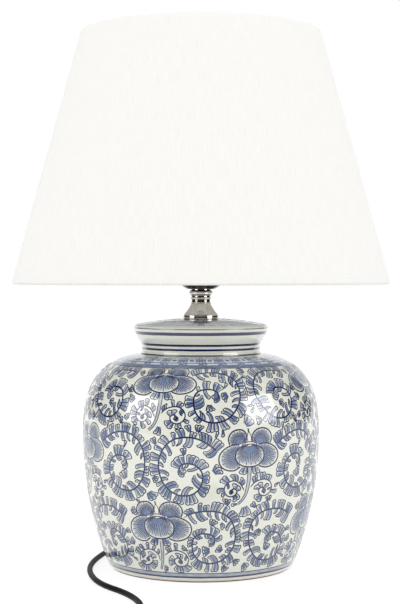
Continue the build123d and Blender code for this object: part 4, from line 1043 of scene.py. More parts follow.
        # The petals behind are painted first, the last of them lowest.
        for outline, base in shapes[:0:-1]:
            self.petal(placed, outline, base, 24, closed=False)
        front = placed(central)
        self.reserve.wash(front, front.mean(axis=0), rings=3, lift=0.00007)
        self.petal(placed, central, crown, 36, closed=True, lift=0.000085)
        lens = [
            (-7.6, 9.4), (-3.8, 11.6), (1.2, 12.0), (6.4, 10.0), (1.2, 8.3), (-3.8, 8.0),
            (-7.6, 9.4),
        ]
        blank = placed(smooth_run(np.array(lens), 0.9))[:-1]
        self.reserve.wash(blank, blank.mean(axis=0), lift=0.00012)
        self.lines.stroke(np.r_[blank, blank[:1]], 0.7 * MM, tone=0.0, lift=0.00014)
        for across in np.arange(-5.0, 4.6, 2.1):
            tick = placed([(across, 9.3), (across + 0.6, 10.6)])
            self.lines.stroke(tick, 0.55 * MM, tone=0.1, lift=0.00014)
        bud = [(-2.2, 12.2), (-2.9, 15.5), (-1.4, 20.6), (0.9, 16.5), (0.8, 12.2)]
        bud = placed(smooth_run(np.array(bud), 1.0))
        self.reserve.wash(bud, bud.mean(axis=0), lift=0.00005)
        self.lines.stroke(bud, 0.6 * MM, tone=0.1, lift=0.00008)
        tip = placed([(-1.4, 20.2), (-1.7, 22.0), (-1.9, 23.6)])
        self.lines.stroke(tip, 1.3 * MM, tone=0.0, lift=0.00007)
        for side in (-1, 1):
            roots = placed([(side * across, -9.9) for across in (2.2, 4.6, 7.2)])
            headings = -math.pi / 2 + side * np.array([0.0, 0.2, 0.5])
            lengths = np.array([4.6, 5.4, 4.2]) * MM
            self.comb(self.leaves, roots, headings, lengths, side * 0.3, free=True)
        ground = [placed(outline) for outline, _ in shapes]
        inside = [
            placed(base + (outline - base) * part)
            for outline, base in shapes
            for part in np.linspace(0, 1, 16)
        ]
        self.sheet.claim(np.concatenate([*ground, *inside]), 1.3 * MM)

    def petal(self, placed, outline, base, rays, closed, lift=WASH_LIFT):
        """One petal: outline, fine hatching from its base and a wash that fades outwards."""
        rim = placed(outline)
        line = np.r_[rim, rim[:1]] if closed else rim
        self.lines.stroke(self.trimmed(line), 1.25 * MM, tone=-0.1, lift=lift + 0.00003)
        heart = placed(base[None])[0]
        blank = placed(base + (outline - base) * 0.9)
        blank = np.c_[blank[:, 0], np.minimum(blank[:, 1], self.ceiling)]
        self.washes.wash(blank, heart, tones=(1.15, 0.3), rings=6, lift=lift)
        count = len(outline)
        for ray in range(rays):
            place = (ray + 0.5) / rays * (count if closed else count - 1)
            near, share = int(place), place - int(place)
            edge = outline[near] * (1 - share) + outline[(near + 1) % count] * share
            long, start = (0.9, 0.34) if ray % 2 else (0.82, 0.52)
            stops = np.linspace(start, long, 4)[:, None] * self.jitter(0.05)
            points = self.trimmed(placed(base + (edge - base) * stops))
            self.lines.stroke(points, 0.58 * MM, tone=0.2, lift=lift + 0.000025)

    def fill(self):
        """Small tufts where much ground is left bare."""
        low, high = self.floor + 3 * MM, self.ceiling - 3 * MM
        ring = np.linspace(0, math.tau, 17)[:-1]
        for scale, tries in ((1.7, 5000), (1.3, 5000), (1.0, 5000)):
            for _ in range(tries):
                across = self.hand.uniform(0, self.sheet.width)
                spot = np.array([across, self.hand.uniform(low, high)])
                rims = [np.c_[np.cos(ring), np.sin(ring)] * room * scale * MM
                        for room in (1.1, 2.1, 3.1)]
                around = np.concatenate([spot[None], *[spot + rim for rim in rims]])
                if self.sheet.clear(around) < len(around):
                    continue
                heading = self.hand.uniform(0, math.tau)
                way = np.array([math.cos(heading), math.sin(heading)])
                self.tuft(spot - way * 3.2 * scale * MM, heading, scale)
                self.sheet.claim(spot[None], 2.6 * MM)


# The camera sees the bars that lie across a shoulder edge-on: drawn broader, they still show.
FRET_ACROSS = 1.6


def key_fret(brush, low, high, units, width, radius, lift=LINE_LIFT, tone=0.5):
    """White bars and squares one inside the other, repeated along a band."""
    pitch = radius * math.pi / 2 / units
    rise = high - low
    frames = [(0.17, 0.10, 0.83, 0.90), (0.33, 0.33, 0.67, 0.67)]
    runs = [[(0.0, -0.02), (0.0, 1.02)]]
    for left, bottom, right, top in frames:
        corners = [(left, bottom), (left, top), (right, top), (right, bottom), (left, bottom)]
        runs.append(corners if left > 0.2 else corners[:4] + [(0.36, 0.10)])
    for index in range(units):
        start = index * pitch
        for run in runs:
            corners = np.array([(start + x * pitch, low + y * rise) for x, y in run])
            for first, second in zip(corners, corners[1:]):
                way = (second - first) / max(np.linalg.norm(second - first), 1e-9)
                ends = (first - way * width / 2, second + way * width / 2)
                broad = width * (FRET_ACROSS if abs(way[0]) > abs(way[1]) else 1.0)
                brush.stroke(np.linspace(*ends, 4), broad, lift=lift, tone=tone, radius=radius)


def glazed_surfaces():
    """The glazed outsides of the jar and of its lid."""
    glaze = bpy.context.scene.lamp_glaze
    return [Surface(outline, glaze.thickness) for outline in glaze_outlines()]


# ---------------------------------------------------------------- finishes
METAL = {"Metallic": 1.0}
GLOSS = {"IOR": 1.5, "Coat_Roughness": 0.035, "Coat_IOR": 1.55}

# Each row: its name, the darker and the lighter tone, how fine the mottling is, the least and the
# most roughness, the depth and fineness of the grain, and what else the surface is told.
MOTTLED = {
    "hardboard": (
        "Pressed board", (92, 66, 42), (132, 98, 66), 60.0, (0.7, 0.9), 0.0001, 1500.0, {},
    ),
    "felt": (
        "Black felt", (22, 22, 24), (48, 48, 50), 700.0, (0.9, 1.0), 0.0003, 1600.0,
        {"Sheen_Weight": 0.5},
    ),
    "seal": ("Soft seal", (20, 20, 20), (36, 36, 36), 300.0, (0.7, 0.85), 0.00005, 900.0, {}),
    "steatite": (
        "Unglazed steatite", (206, 200, 186), (224, 219, 206), 110.0, (0.6, 0.75), 0.00006, 900.0,
        {},
    ),
    "wire": (
        "White powder coat", (222, 222, 218), (234, 234, 230), 90.0, (0.4, 0.55), 0.00004, 1500.0,
        {},
    ),
    "cap": (
        "Rolled cap", (150, 150, 152), (196, 196, 198), 130.0, (0.28, 0.4), 0.00003, 700.0, METAL,
    ),
    "vitrite": (
        "Black glass", (14, 14, 16), (26, 26, 28), 120.0, (0.1, 0.2), 0.0, 900.0, {"IOR": 1.52},
    ),
    "fitting": (
        "Moulded rubber", (18, 18, 18), (34, 34, 34), 220.0, (0.5, 0.62), 0.00004, 900.0, {},
    ),
    "shell": (
        "Switch moulding", (20, 20, 21), (34, 34, 35), 140.0, (0.24, 0.34), 0.00003, 1100.0, {},
    ),
    "button": (
        "Rocker moulding", (26, 26, 27), (42, 42, 43), 140.0, (0.2, 0.3), 0.00002, 1100.0, {},
    ),
    "plug": ("Plug moulding", (20, 20, 21), (34, 34, 35), 140.0, (0.34, 0.46), 0.00004, 900.0, {}),
    "pin": (
        "Nickel plate", (150, 146, 136), (206, 202, 192), 150.0, (0.2, 0.34), 0.00001, 900.0, METAL,
    ),
    "tie": ("Strap", (16, 16, 17), (30, 30, 31), 220.0, (0.4, 0.55), 0.00003, 900.0, {}),
}


def finishes():
    """The lamp's materials by name, made once."""
    made = finishes.made
    if made:
        return made
    glaze, neck = bpy.context.scene.lamp_glaze, bpy.context.scene.lamp_neck
    shade, lead = bpy.context.scene.lamp_shade, bpy.context.scene.lamp_lead

    shader = Shader("Off-white glaze", Base_Color=opaque(glaze.tint), **GLOSS)
    place = shader.place()
    drift = shader.noise(place, 14.0, 3.0)
    deeper = opaque(shade_of(glaze.tint, 0.955))
    tint = shader.mix(drift.step(0.3, 0.72), deeper, opaque(glaze.tint))
    specks = shader.noise(place, 420.0, 1.0).step(0.735, 0.79)
    shader.set("Base Color", shader.mix(specks * 0.28, tint, opaque(srgb(150, 140, 120))))
    shader.set("Roughness", drift * 0.1 + 0.16)
    shader.set("Coat Weight", 0.9)
    shader.bump(shader.noise(place, 55.0, 2.0), 0.00012)
    made["glaze"] = shader.material

    painting = bpy.context.scene.lamp_painting
    paints = {
        "line": ("Cobalt lines", painting.dark, painting.light, 0.55),
        "wash": ("Cobalt wash", painting.pale, painting.wash, 0.9),
        "reserve": ("White reserve", shade_of(glaze.tint, 0.97), glaze.tint, 0.3),
        "fret": ("Pale fret", srgb(222, 230, 238), srgb(240, 243, 242), 0.3),
    }
    for key, (name, low, high, share) in paints.items():
        shader = Shader(name, Base_Color=opaque(low), **GLOSS)
        tone = shader.node("ShaderNodeAttribute", {"attribute_name": "tone"}, out="Fac")
        drift = shader.noise(shader.place(), 160.0, 3.0)
        depth = tone * share + drift * 0.5 - 0.12
        shader.set("Base Color", shader.mix(depth.step(0.0, 1.0), opaque(low), opaque(high)))
        shader.set("Roughness", drift * 0.1 + 0.16)
        shader.set("Coat Weight", 0.9)
        made[key] = shader.material

    for key, (name, dark, light, *rest, extra) in MOTTLED.items():
        made[key] = mottled(name, srgb(*dark), srgb(*light), *rest, **extra)
    moulding, glossy = neck.moulding, {"IOR": 1.5}
    tinted = {
        "clay": ("Bare clay", glaze.clay, 0.72, 90.0, (0.75, 0.95), 0.00012, 700.0, {}),
        "steel": ("Zinc plate", neck.steel, 0.72, 160.0, (0.28, 0.5), 0.00002, 1200.0, METAL),
        "holder": (
            "Black gloss moulding", moulding, 0.8, 120.0, (0.14, 0.2), 0.000012, 1400.0, glossy,
        ),
        "brass": ("Brass", neck.brass, 0.7, 150.0, (0.25, 0.42), 0.00002, 900.0, METAL),
        "ring": (
            "Black ring moulding", moulding, 0.8, 120.0, (0.22, 0.32), 0.000015, 1200.0, glossy,
        ),
    }
    for key, (name, tint, share, *rest, extra) in tinted.items():
        made[key] = mottled(name, shade_of(tint, share), tint, *rest, **extra)

    shader = Shader("Polished plating", Base_Color=opaque(neck.chrome), Metallic=1.0)
    place = shader.place()
    angle, height = shader.round_axis(place)
    lines = shader.noise(shader.join(angle * 0.02, 0.0, height * 14.0), 260.0, 1.0)
    shader.set("Roughness", lines * 0.05 + 0.045)
    shader.bump(lines, 0.000006)
    made["chrome"] = shader.material

    shader = Shader("Woven shade cloth", Base_Color=opaque(shade.tint), Sheen_Weight=0.15)
    place = shader.place()
    angle, height = shader.round_axis(place)
    slub = shader.noise(shader.join(angle * 22.0, 0.0, height * 7.0), 9.0, 4.0, 0.65)
    thread = (angle * float(shade.threads)).wave()
    pick = (height * 5200.0).wave()
    weave = thread * 0.5 + pick * 0.25 + slub * 2.4
    deeper = opaque(shade_of(shade.tint, 0.945))
    tone = shader.mix(slub.step(0.32, 0.68), deeper, opaque(shade.tint))
    seam = ((angle.absolute() - math.pi).absolute() - 0.028).absolute().step(0.0, 0.006)
    shader.set("Base Color", shader.mix(seam, opaque(shade_of(shade.tint, 0.86)), tone))
    shader.set("Roughness", slub * 0.1 + 0.82)
    shader.bump(weave, 0.00009)
    made["cloth"] = shader.material

    shader = Shader("Lining film", Base_Color=opaque(shade.lining), IOR=1.45)
    place = shader.place()
    fog = shader.noise(place, 30.0, 2.0)
    shader.set(
        "Base Color", shader.mix(fog, opaque(shade_of(shade.lining, 0.96)), opaque(shade.lining))
    )
    shader.set("Roughness", fog * 0.16 + 0.42)
    shader.bump(shader.noise(place, 18.0, 1.0), 0.0002)
    made["lining"] = shader.material

    opal = opaque(srgb(238, 238, 232))
    shader = Shader("Opal glass", Base_Color=opal, IOR=1.5, Coat_Roughness=0.05)
    place = shader.place()
    milk = shader.noise(place, 60.0, 2.0)
    tone = shader.mix(milk, opaque(srgb(232, 232, 226)), opaque(srgb(244, 244, 240)))
    shader.set("Base Color", tone).set("Roughness", milk * 0.08 + 0.2).set("Coat Weight", 0.6)
    made["opal"] = shader.material

    shader = Shader("Flexible sheath", Base_Color=opaque(lead.tint), IOR=1.5)
    place = shader.place()
    wear = shader.noise(place, 70.0, 3.0)
    tone = shader.mix(wear.step(0.35, 0.7), opaque(shade_of(lead.tint, 0.7)), opaque(lead.tint))
    shader.set("Base Color", tone).set("Roughness", wear * 0.16 + 0.42)
    shader.set("Specular IOR Level", 0.12)
    shader.bump(shader.noise(place, 600.0, 2.0), 0.00004)
    made["sheath"] = shader.material

    return made


finishes.made = {}

FINISHED_NODES = {
    "clay": (*JAR_NODES, "lid"),
    "hardboard": ("bottom_cover",),
    "felt": ("bottom_felt",),
    "steel": ("floor_washer", "floor_nut", "threaded_tube", "holder_lock_nut", "switch_screws"),
    "seal": ("soft_washer",),
    "chrome": ("neck_bell", "neck_spindle", "neck_collar"),
    "holder": ("holder_cap", "holder_skirt"),
    "steatite": ("holder_insert",),
    "brass": ("terminals", "centre_contact", "screw_shell", "bulb_tip", "switch_contacts"),
    "ring": ("shade_seat_ring", "shade_clamp_ring"),
    "lining": ("shade_liner",),
    "wire": ("shade_top_wire", "shade_spider"),
    "vitrite": ("bulb_insulator",),
    "cap": ("bulb_cap",),
    "opal": ("bulb_glass",),
    "fitting": ("lead_bushing",),
    "sheath": ("inner_lead",),
    "tie": ("coil_ties",),
    "shell": ("switch_base", "switch_cover"),
    "button": ("switch_rocker",),
    "plug": ("plug_body", "plug_pin_sleeves"),
    "pin": ("plug_pins",),
}
NODE_FINISHES = {node: finish for finish, nodes in FINISHED_NODES.items() for node in nodes}


def coat(node_names):
    """Gives CAD nodes their finishes."""
    for name in node_names:
        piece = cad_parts[name]
        material = finishes()[NODE_FINISHES[name]]
        if piece.material_slots:
            for held in piece.material_slots:
                held.link = "OBJECT"
                held.material = material
        else:
            piece.data.materials.append(material)


# ---------------------------------------------------------------- pieces
class LAMP_OT_glaze(bpy.types.Operator):
    """Glaze skins over the clay of the jar and its lid"""

    bl_idname = "lamp.glaze"
    bl_label = "Glaze"

    def execute(self, context):
        glaze = context.scene.lamp_glaze
        coat((*JAR_NODES, "lid"))
        for name, outline in zip(("jar_glaze", "lid_glaze"), glaze_outlines()):
            surface = Surface(outline, glaze.thickness)
            inside = Surface(outline, -2.0 * glaze.thickness)
            loop = [*surface.run, inside.run[-1], *inside.run[-2:0:-3], inside.run[0]]
            skin = turned(name, loop, glaze.segments, finishes()["glaze"])
            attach(skin, "base")
        return {"FINISHED"}


class LAMP_OT_scrolls(bpy.types.Operator):
    """Lotus flowers, spiral stems and leaves painted round the jar"""

    bl_idname = "lamp.scrolls"
    bl_label = "Painted scrolls"

    def execute(self, context):
        painting = context.scene.lamp_painting
        surface = glazed_surfaces()[0]
        floor = surface.at_height(painting.foot_band)
        ceiling = surface.at_radius(painting.key_outer) - 1.2 * MM
        painter = ScrollPainter(surface, JAR_SHEET_RADIUS, floor, ceiling, painting.seed)
        painter.paint()
        line, wash = finishes()["line"], finishes()["wash"]
        painter.lines.piece("jar_painted_stems", line)
        painter.leaves.piece("jar_painted_leaves", line)
        painter.inner.piece("jar_painted_sprigs", line)
        painter.washes.piece("jar_painted_washes", wash)
        painter.reserve.piece("jar_painted_whites", finishes()["reserve"])
        return {"FINISHED"}


class LAMP_OT_bands(bpy.types.Operator):
    """Painted lines round the foot and the shoulder, with the squared fret between"""

    bl_idname = "lamp.bands"
    bl_label = "Painted bands"

    def execute(self, context):
        painting = context.scene.lamp_painting
        surface = glazed_surfaces()[0]
        sheet = Sheet(surface, JAR_SHEET_RADIUS)
        lines, ground, fret = Brush(sheet), Brush(sheet), Brush(sheet)
        foot = surface.at_height(painting.foot_band)
        outer = surface.at_radius(painting.key_outer)
        inner = surface.at_radius(painting.key_inner)

        def ring(brush, level, low, high, tone, wobble, radius):
            """A band from low to high, in millimetres up from a level."""
            span = (level + low * MM, level + high * MM)
            brush.band(*span, tone=tone, wobble=wobble * MM, radius=radius)

        ring(lines, foot, -0.6, 0.2, 0.3, 0.05, 0.088)
        ring(ground, foot, -3.2, -0.6, 0.45, 0.05, 0.088)
        ring(lines, foot, -5.1, -3.3, 0.0, 0.08, 0.087)
        ring(lines, outer, -1.9, -1.2, 0.1, 0.06, 0.083)
        ring(ground, outer, -1.2, 1.6, 1.15, 0.05, 0.081)
        ring(lines, outer, 1.6, 2.1, 0.35, 0.04, 0.079)
        ground.band(outer + 2.1 * MM, inner - 0.9 * MM, tone=0.8, wobble=0.04 * MM, radius=0.070)
        ring(lines, inner, -0.7, 0.1, 0.3, 0.04, 0.059)
        key_fret(
            fret, outer + 3.2 * MM, inner - 2.0 * MM, painting.key_units, 1.5 * MM, 0.070
        )
        lines.piece("jar_painted_lines", finishes()["line"])
        ground.piece("jar_painted_grounds", finishes()["wash"])
        fret.piece("jar_painted_fret", finishes()["fret"])
        return {"FINISHED"}


class LAMP_OT_lid_painting(bpy.types.Operator):
    """Painted lines, fret and lappets of the lid"""

    bl_idname = "lamp.lid_painting"
    bl_label = "Painted lid"

    def execute(self, context):
        surface = glazed_surfaces()[1]
        sheet = Sheet(surface, LID_SHEET_RADIUS)
        lines, ground, fret = Brush(sheet), Brush(sheet), Brush(sheet)

        def ring(low, high, tone, radius):
            span = [surface.at_height(level * MM) for level in (low, high)]
            lines.band(*span, tone=tone, radius=radius, wobble=0.04 * MM, steps=128)

        # A dark ring at the lid's foot, over the bare clay there: painted shade of the seam where
        # the lid stands on the shoulder.
        ring(196.3, 197.1, 0.35, 0.055)
        ring(200.6, 202.5, 0.05, 0.055)
        ring(204.6, 206.6, 0.05, 0.055)
        ring(214.6, 217.4, -0.2, 0.062)
        ring(219.9, 220.5, 0.1, 0.062)
        top = surface.at_radius
        outer = surface.at_height(220.9 * MM)
        lines.band(outer, top(0.0440), tone=1.5, radius=0.053, steps=128)
        for middle in (0.0566, 0.0489):
            key_fret(fret, top(middle + 0.0033), top(middle - 0.0033), 9, 0.95 * MM, 0.053)
        lines.band(top(0.0532), top(0.0524), tone=0.0, radius=0.053, wobble=0.03 * MM, steps=128)
        lines.band(top(0.0440), top(0.0422), tone=0.0, radius=0.043, wobble=0.03 * MM, steps=128)
        lines.band(top(0.0190), top(0.0178), tone=0.15, radius=0.0185, wobble=0.02 * MM, steps=96)
        for index in range(6):
            self.lappet(lines, ground, top(0.0410), top(0.0200), (index + 0.5) / 6)
        lines.piece("lid_painted_lines", finishes()["line"])
        ground.piece("lid_painted_grounds", finishes()["wash"])
        fret.piece("lid_painted_fret", finishes()["fret"])
        return {"FINISHED"}

    def lappet(self, lines, ground, low, high, share):
        """Pointed leaf across the lid's top, with its narrow end towards the middle."""
        quarter = LID_SHEET_RADIUS * math.pi / 2
        turn = share * quarter
        half = quarter / 6 / 2 * 0.86
        rise = high - low
        side = [(0.0, 0.0), (0.72, 0.02), (1.0, 0.16), (0.96, 0.42), (0.62, 0.74), (0.0, 0.98)]
        right = smooth_run(np.array([(x * half, low + y * rise) for x, y in side]), 0.9 * MM)
        outline = np.concatenate([right, (right * (-1, 1))[-2:0:-1]]) + (turn, 0)
        lines.stroke(np.r_[outline, outline[:1]], 0.8 * MM, tone=0.15)
        middle = np.array([turn, low + rise * 0.42])
        ground.wash(middle + (outline - middle) * 0.86, middle, tones=(1.5, 0.8), rings=3)


class LAMP_OT_neck(bpy.types.Operator):
    """Turned metal neck, lampholder and shade rings"""

    bl_idname = "lamp.neck"
    bl_label = "Neck and lampholder"

    def execute(self, context):
        coat(
            (
                "soft_washer", "neck_bell", "neck_spindle", "neck_collar", "holder_cap",
                "holder_lock_nut", "holder_skirt", "holder_insert", "terminals", "centre_contact",
                "screw_shell", "shade_seat_ring", "shade_clamp_ring",
            )
        )
        # A skin just outside the bell: it rises from the foot's edge, then draws in.
        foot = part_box("neck_bell")[0].z - 0.4 * MM
        flare = [
            (16.5, 3.0), (16.1, 3.35), (15.0, 4.8), (13.5, 6.7), (12.1, 8.6), (10.9, 10.5),
            (9.8, 12.4), (8.95, 14.2),
        ]
        side = [(radius * MM, foot + rise * MM) for radius, rise in flare]
        curve = smooth_run(np.array(side[1:]), 0.8 * MM)
        rim = [
            (16.1 * MM, foot), (16.4 * MM, foot + 0.12 * MM), (16.5 * MM, foot + 0.4 * MM),
            side[0], (16.42 * MM, foot + 3.25 * MM),
        ]
        inner = [(radius - 0.5 * MM, height) for radius, height in curve[::-1]]
        outline = [*rim, *curve.tolist(), *inner, (15.6 * MM, foot + 2.6 * MM), (15.6 * MM, foot)]
        skin = turned("neck_bell_plating", outline, 128, finishes()["chrome"])
        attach(skin, "base")
        return {"FINISHED"}


class LAMP_OT_bulb(bpy.types.Operator):
    """Opal bulb with its rolled cap"""

    bl_idname = "lamp.bulb"
    bl_label = "Bulb"

    def execute(self, context):
        coat(("bulb_tip", "bulb_insulator", "bulb_cap", "bulb_glass"))
        return {"FINISHED"}


class LAMP_OT_underside(bpy.types.Operator):
    """Cover, felt and fixings under the jar"""

    bl_idname = "lamp.underside"
    bl_label = "Underside"

    def execute(self, context):
        coat(UNDER_NODES)
        return {"FINISHED"}


class LAMP_OT_shade(bpy.types.Operator):
    """Cloth shade with rolled edges, its lining and wires"""

    bl_idname = "lamp.shade"
    bl_label = "Shade"

    def execute(self, context):
        settings = context.scene.lamp_shade
        coat(("shade_liner", "shade_top_wire", "shade_spider"))
        outline = self.outline(settings)
        cloth = turned("shade_cloth_woven", outline, 288, finishes()["cloth"])
        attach(cloth, "shade")
        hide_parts("shade_cloth")
        low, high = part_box("shade_cloth")
        # The flat cut is a ring sector: a blank this wide and long holds it.
        slant = math.hypot(high.z - low.z, high.x - self.top_radius)
        area = math.pi * (high.x + self.top_radius) * slant
        return {"FINISHED"}

    def outline(self, settings):
        """Section of the cloth: its outside, a roll at each edge and the hems inside."""
        low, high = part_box("shade_cloth")
        wire_low, wire_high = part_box("shade_top_wire")
        bead, cloth = settings.bead, settings.cloth
        # The top wire lies in the roll at the top edge.
        wire = (wire_high.z - wire_low.z) / 2
        top_middle = (wire_high.x - wire, (wire_low.z + wire_high.z) / 2)
        bottom = (high.x, low.z)
        self.top_radius = top_middle[0] + bead
        direction = Vector((self.top_radius - bottom[0], high.z - low.z)).normalized()
        inward = Vector((-direction.y, direction.x))
        bottom_middle = Vector((bottom[0] - bead, low.z + bead))
        top = Vector(top_middle)
        turn = math.atan2(-inward.y, -inward.x)
        points = []

        def arc(middle, radius, start, end, steps=14):
            for index in range(steps + 1):
                angle = start + (end - start) * index / steps
                points.append(
                    (middle.x + radius * math.cos(angle), middle.y + radius * math.sin(angle))
                )

        def along(start, end, steps):
            for index in range(1, steps):
                spot = start.lerp(end, index / steps)
                points.append((spot.x, spot.y))

        # Outside face upwards, over the top wire, then back down the inside.
        outer_low = bottom_middle - inward * bead
        outer_high = top - inward * bead
        along(outer_low, outer_high, 24)
        arc(top, bead, turn, turn + math.pi)
        hem_top = top - direction * 0.009 + inward * bead
        points.append(tuple(hem_top))
        inner_top = hem_top - inward * cloth
        points.append(tuple(inner_top))
        arc(top, bead - cloth, turn + math.pi, turn + 0.25, 12)
        inner_high = outer_high + inward * cloth - direction * (bead + cloth)
        inner_low = outer_low + inward * cloth + direction * (bead + cloth)
        points.append(tuple(inner_high))
        along(inner_high, inner_low, 24)
        points.append(tuple(inner_low))
        arc(bottom_middle, bead - cloth, turn - 0.25, turn - math.pi, 12)
        hem_low = bottom_middle + direction * 0.009 + inward * (bead - cloth)
        points.append(tuple(hem_low))
        points.append(tuple(hem_low + inward * cloth))
        arc(bottom_middle, bead, turn - math.pi, turn)
        return points


class LAMP_OT_lead(bpy.types.Operator):
    """Mains lead from the foot to its switch, and on through a coil to its plug"""

    bl_idname = "lamp.lead"
    bl_label = "Lead, switch and plug"

    def execute(self, context):
        settings = context.scene.lamp_lead
        coat(
            (
                "lead_bushing", "inner_lead", "coil_ties", "switch_base", "switch_cover",
                "switch_rocker", "switch_screws", "switch_contacts", "plug_body", "plug_pins",
                "plug_pin_sleeves",
            )
        )
        rest = settings.table_gap
        split = 0.008
        route = [
            (0, 0.1106, 0.0085), (0, 0.133, 0.0085), (-0.010, 0.156, 0.0052), (-0.036, 0.166, rest),
            (-0.063, 0.152, rest), (-0.079, 0.118, rest), (-0.083, 0.072, rest),
            (-0.096, 0.024, rest), (-0.102, -0.018, rest), (-0.099, -0.060, rest),
            (-0.087, -0.102, rest), (-0.060, -0.140, rest), (-0.046, -0.184, rest),
            (-0.050, -0.232, rest), (-0.036, -0.272, rest), (-0.007, -0.292, split),
            (0.012, -0.292, split),
        ]
        first = cord_curve("lead_from_foot", route, settings.diameter)
        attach(first, "base")
        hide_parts("lead_to_switch")
        onward = [
            (0.074, -0.292, split), (0.093, -0.292, split), (0.113, -0.3025, 0.0037),
            *coil_points(),
            (0.112, -0.228, 0.0092), (0.078, -0.255, 0.00705), (0.055, -0.255, 0.00705),
        ]
        second = cord_curve("lead_to_plug_coiled", onward, settings.diameter)
        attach(second, "base")
        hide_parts("lead_to_coil", "lead_coil", "lead_to_plug")
        return {"FINISHED"}


def coil_points():
    """The coil's turns: five half turns inwards on the lower layer, then outwards on top."""
    middle, outer, step = (0.136, -0.268), 0.0345, 0.00275
    low, high = 0.0037, 0.0092
    points = [(0.131, middle[1] - outer, low)]
    y, rising = middle[1] - outer, 1
    radii = [outer - step * index for index in range(6)]
    climb = radii[-1]
    turns = [(radius, low, low) for radius in radii[:-1]] + [(climb, low, high)]
    turns += [(radius, high, high) for radius in radii[:-1][::-1]]
    # A control polygon stands this far outside the round it makes.
    steps = 8
    stand = 1 / math.cos(math.pi / steps / 2)
    for radius, start, end in turns:
        centre = y + rising * radius
        for index in range(steps):
            share = (index + 0.5) / steps
            angle = math.pi * share
            reach = radius * stand
            x_side = math.sin(angle) * reach
            points.append(
                (
                    middle[0] + rising * x_side,
                    centre - rising * math.cos(angle) * reach,
                    start + (end - start) * share,
                )
            )
        y += rising * 2 * radius
        rising = -rising
    points.append((0.131, y, high))
    return points


def cord_curve(name, points, diameter):
    data = bpy.data.curves.new(name, "CURVE")
    data.dimensions = "3D"
    spline = data.splines.new("NURBS")
    spline.points.add(len(points) - 1)
    for held, point in zip(spline.points, points):
        held.co = (*point, 1.0)
    spline.order_u = 3
    spline.use_endpoint_u = True
    spline.resolution_u = 10
    data.bevel_depth = diameter / 2
    data.bevel_resolution = 5
    data.use_fill_caps = True
    data.materials.append(finishes()["sheath"])
    return linked(name, data)


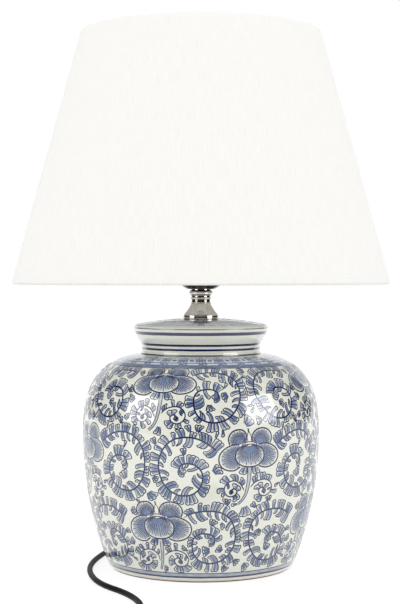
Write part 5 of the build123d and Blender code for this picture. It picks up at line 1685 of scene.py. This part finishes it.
# ---------------------------------------------------------------- stage
class LAMP_OT_studio(bpy.types.Operator):
    """Pale floor, soft boxes, even sky and the camera"""

    bl_idname = "lamp.studio"
    bl_label = "Studio"

    def execute(self, context):
        studio = context.scene.lamp_studio
        self.camera(context, studio)
        self.floor(studio)
        self.sky(context, studio)
        for side in (-1, 1):
            self.soft_box(side, studio)
        context.scene.view_settings.view_transform = "Standard"
        return {"FINISHED"}

    def camera(self, context, studio):
        data = bpy.data.cameras.new("Camera")
        data.lens = studio.focal
        data.sensor_width = 36.0
        data.shift_x = studio.shift_x
        data.shift_y = studio.shift_y
        data.clip_start, data.clip_end = 0.05, 60.0
        camera = bpy.data.objects.new("Camera", data)
        camera.location = (0.0, -studio.distance, studio.height)
        camera.rotation_euler = (math.pi / 2, 0.0, 0.0)
        context.scene.collection.objects.link(camera)
        context.scene.camera = camera

    def floor(self, studio):
        mesh = bpy.data.meshes.new("floor")
        # It ends just behind the camera, so that what is polished sees the dark room there.
        side, near, far = 3.2, -1.5, 14.0
        corners = [(-side, near, 0), (side, near, 0), (side, far, 0), (-side, far, 0)]
        mesh.from_pydata(corners, [], [(0, 1, 2, 3)])
        shader = Shader("Pale table top", Base_Color=opaque(studio.floor), Roughness=0.85)
        shader.set("Specular IOR Level", 0.15)
        white = (1, 1, 1, 1)
        glow = shader.node("ShaderNodeEmission", None, {"Color": white, "Strength": 0.86})
        lit = Value(shader, shader.surface.outputs[0])
        path = shader.node("ShaderNodeLightPath", out="Is Camera Ray").socket.node
        seen = Value(shader, path.outputs["Is Camera Ray"]) + Value(
            shader, path.outputs["Is Glossy Ray"]
        )
        bright = shader.node("ShaderNodeMixShader", None, {0: seen * 0.72, 1: lit, 2: glow})
        extra = {"Color": white, "Strength": seen * 0.215}
        added = shader.node("ShaderNodeEmission", None, extra)
        both = shader.node("ShaderNodeAddShader", None, {0: bright, 1: added})
        shader.tree.links.new(both.socket, shader.output.inputs["Surface"])
        mesh.materials.append(shader.material)
        linked("floor", mesh)

    def sky(self, context, studio):
        world = bpy.data.worlds.new("Even sky")
        context.scene.world = world
        world.use_nodes = True
        tree = world.node_tree
        tree.nodes.clear()
        output = tree.nodes.new("ShaderNodeOutputWorld")

        def add(kind, inputs, **settings):
            return add_node(tree, kind, inputs, settings).outputs[0]

        def ramp(value, *ends):
            """A smooth step from the first two ends to the last two."""
            inputs = dict(zip(("From Min", "From Max", "To Min", "To Max"), ends), Value=value)
            return add("ShaderNodeMapRange", inputs, interpolation_type="SMOOTHSTEP")

        path = add_node(tree, "ShaderNodeLightPath", {}, {})
        way = add_node(tree, "ShaderNodeTexCoord", {}, {}).outputs["Generated"]
        split = add_node(tree, "ShaderNodeSeparateXYZ", {0: way}, {})
        # Seen in gloss: dark to the sides of the camera, bright behind it and grey overhead.
        ahead = add("ShaderNodeMath", {0: split.outputs[1], 1: -1.0}, operation="MULTIPLY")
        turn = add("ShaderNodeMath", {0: split.outputs[0], 1: ahead}, operation="ARCTAN2")
        turn = add("ShaderNodeMath", {0: turn}, operation="ABSOLUTE")
        back = ramp(turn, 2.37, 2.5, 0.02, 1.0)
        over = ramp(split.outputs[2], 0.5, 0.75, 0.0, 0.46)
        gloss = add("ShaderNodeMath", {0: back, 1: over}, operation="MAXIMUM")
        even, shine, white = [
            add("ShaderNodeBackground", {"Color": (1, 1, 1, 1), "Strength": strength})
            for strength in (studio.sky, gloss, 1.0)
        ]
        first = add(
            "ShaderNodeMixShader", {0: path.outputs["Is Glossy Ray"], 1: even, 2: shine}
        )
        last = add("ShaderNodeMixShader", {0: path.outputs["Is Camera Ray"], 1: first, 2: white})
        tree.links.new(last, output.inputs["Surface"])

    def soft_box(self, side, studio):
        """Tall soft box to one side of the camera, aimed at the jar."""
        azimuth, reach, middle = math.radians(60.0) * side, 1.7, 0.69
        data = bpy.data.lights.new("Soft box", "AREA")
        data.shape = "RECTANGLE"
        data.size, data.size_y = 1.0, 0.96
        data.energy = studio.box_power * (1.2 if side > 0 else 0.75)
        box = bpy.data.objects.new("Soft_box", data)
        box.location = (math.sin(azimuth) * reach, -math.cos(azimuth) * reach, middle)
        aim = Vector((0, 0, 0.2)) - box.location
        box.rotation_euler = aim.to_track_quat("-Z", "Y").to_euler()
        # The boxes only show as reflections; the sky alone gives the matt light.
        box.visible_diffuse = False
        bpy.context.scene.collection.objects.link(box)


STEPS = (
    LAMP_OT_studio,
    LAMP_OT_lead,
    LAMP_OT_glaze,
    LAMP_OT_scrolls,
    LAMP_OT_bands,
    LAMP_OT_lid_painting,
    LAMP_OT_underside,
    LAMP_OT_neck,
    LAMP_OT_bulb,
    LAMP_OT_shade,
)


class LAMP_PT_panel(bpy.types.Panel):
    """Lists the lamp's pieces and their settings"""

    bl_idname = "LAMP_PT_panel"
    bl_label = "Ginger Jar Lamp"
    bl_space_type = "VIEW_3D"
    bl_region_type = "UI"
    bl_category = "Jar Lamp"

    def draw(self, context):
        for step in STEPS:
            self.layout.operator(step.bl_idname)
        for name, group in GROUPS.items():
            box = self.layout.box()
            held = getattr(context.scene, name)
            for key in group.__annotations__:
                box.prop(held, key)


def register():
    for group in GROUPS.values():
        bpy.utils.register_class(group)
    for name, group in GROUPS.items():
        setattr(bpy.types.Scene, name, PointerProperty(type=group))
    for made in (*STEPS, LAMP_PT_panel):
        bpy.utils.register_class(made)


def unregister():
    for made in (LAMP_PT_panel, *reversed(STEPS)):
        bpy.utils.unregister_class(made)
    for name, group in reversed(GROUPS.items()):
        delattr(bpy.types.Scene, name)
        bpy.utils.unregister_class(group)


def main():
    register()
    for step in STEPS:
        area, action = step.bl_idname.split(".")
        getattr(getattr(bpy.ops, area), action)()


if __name__ == "__main__":
    main()
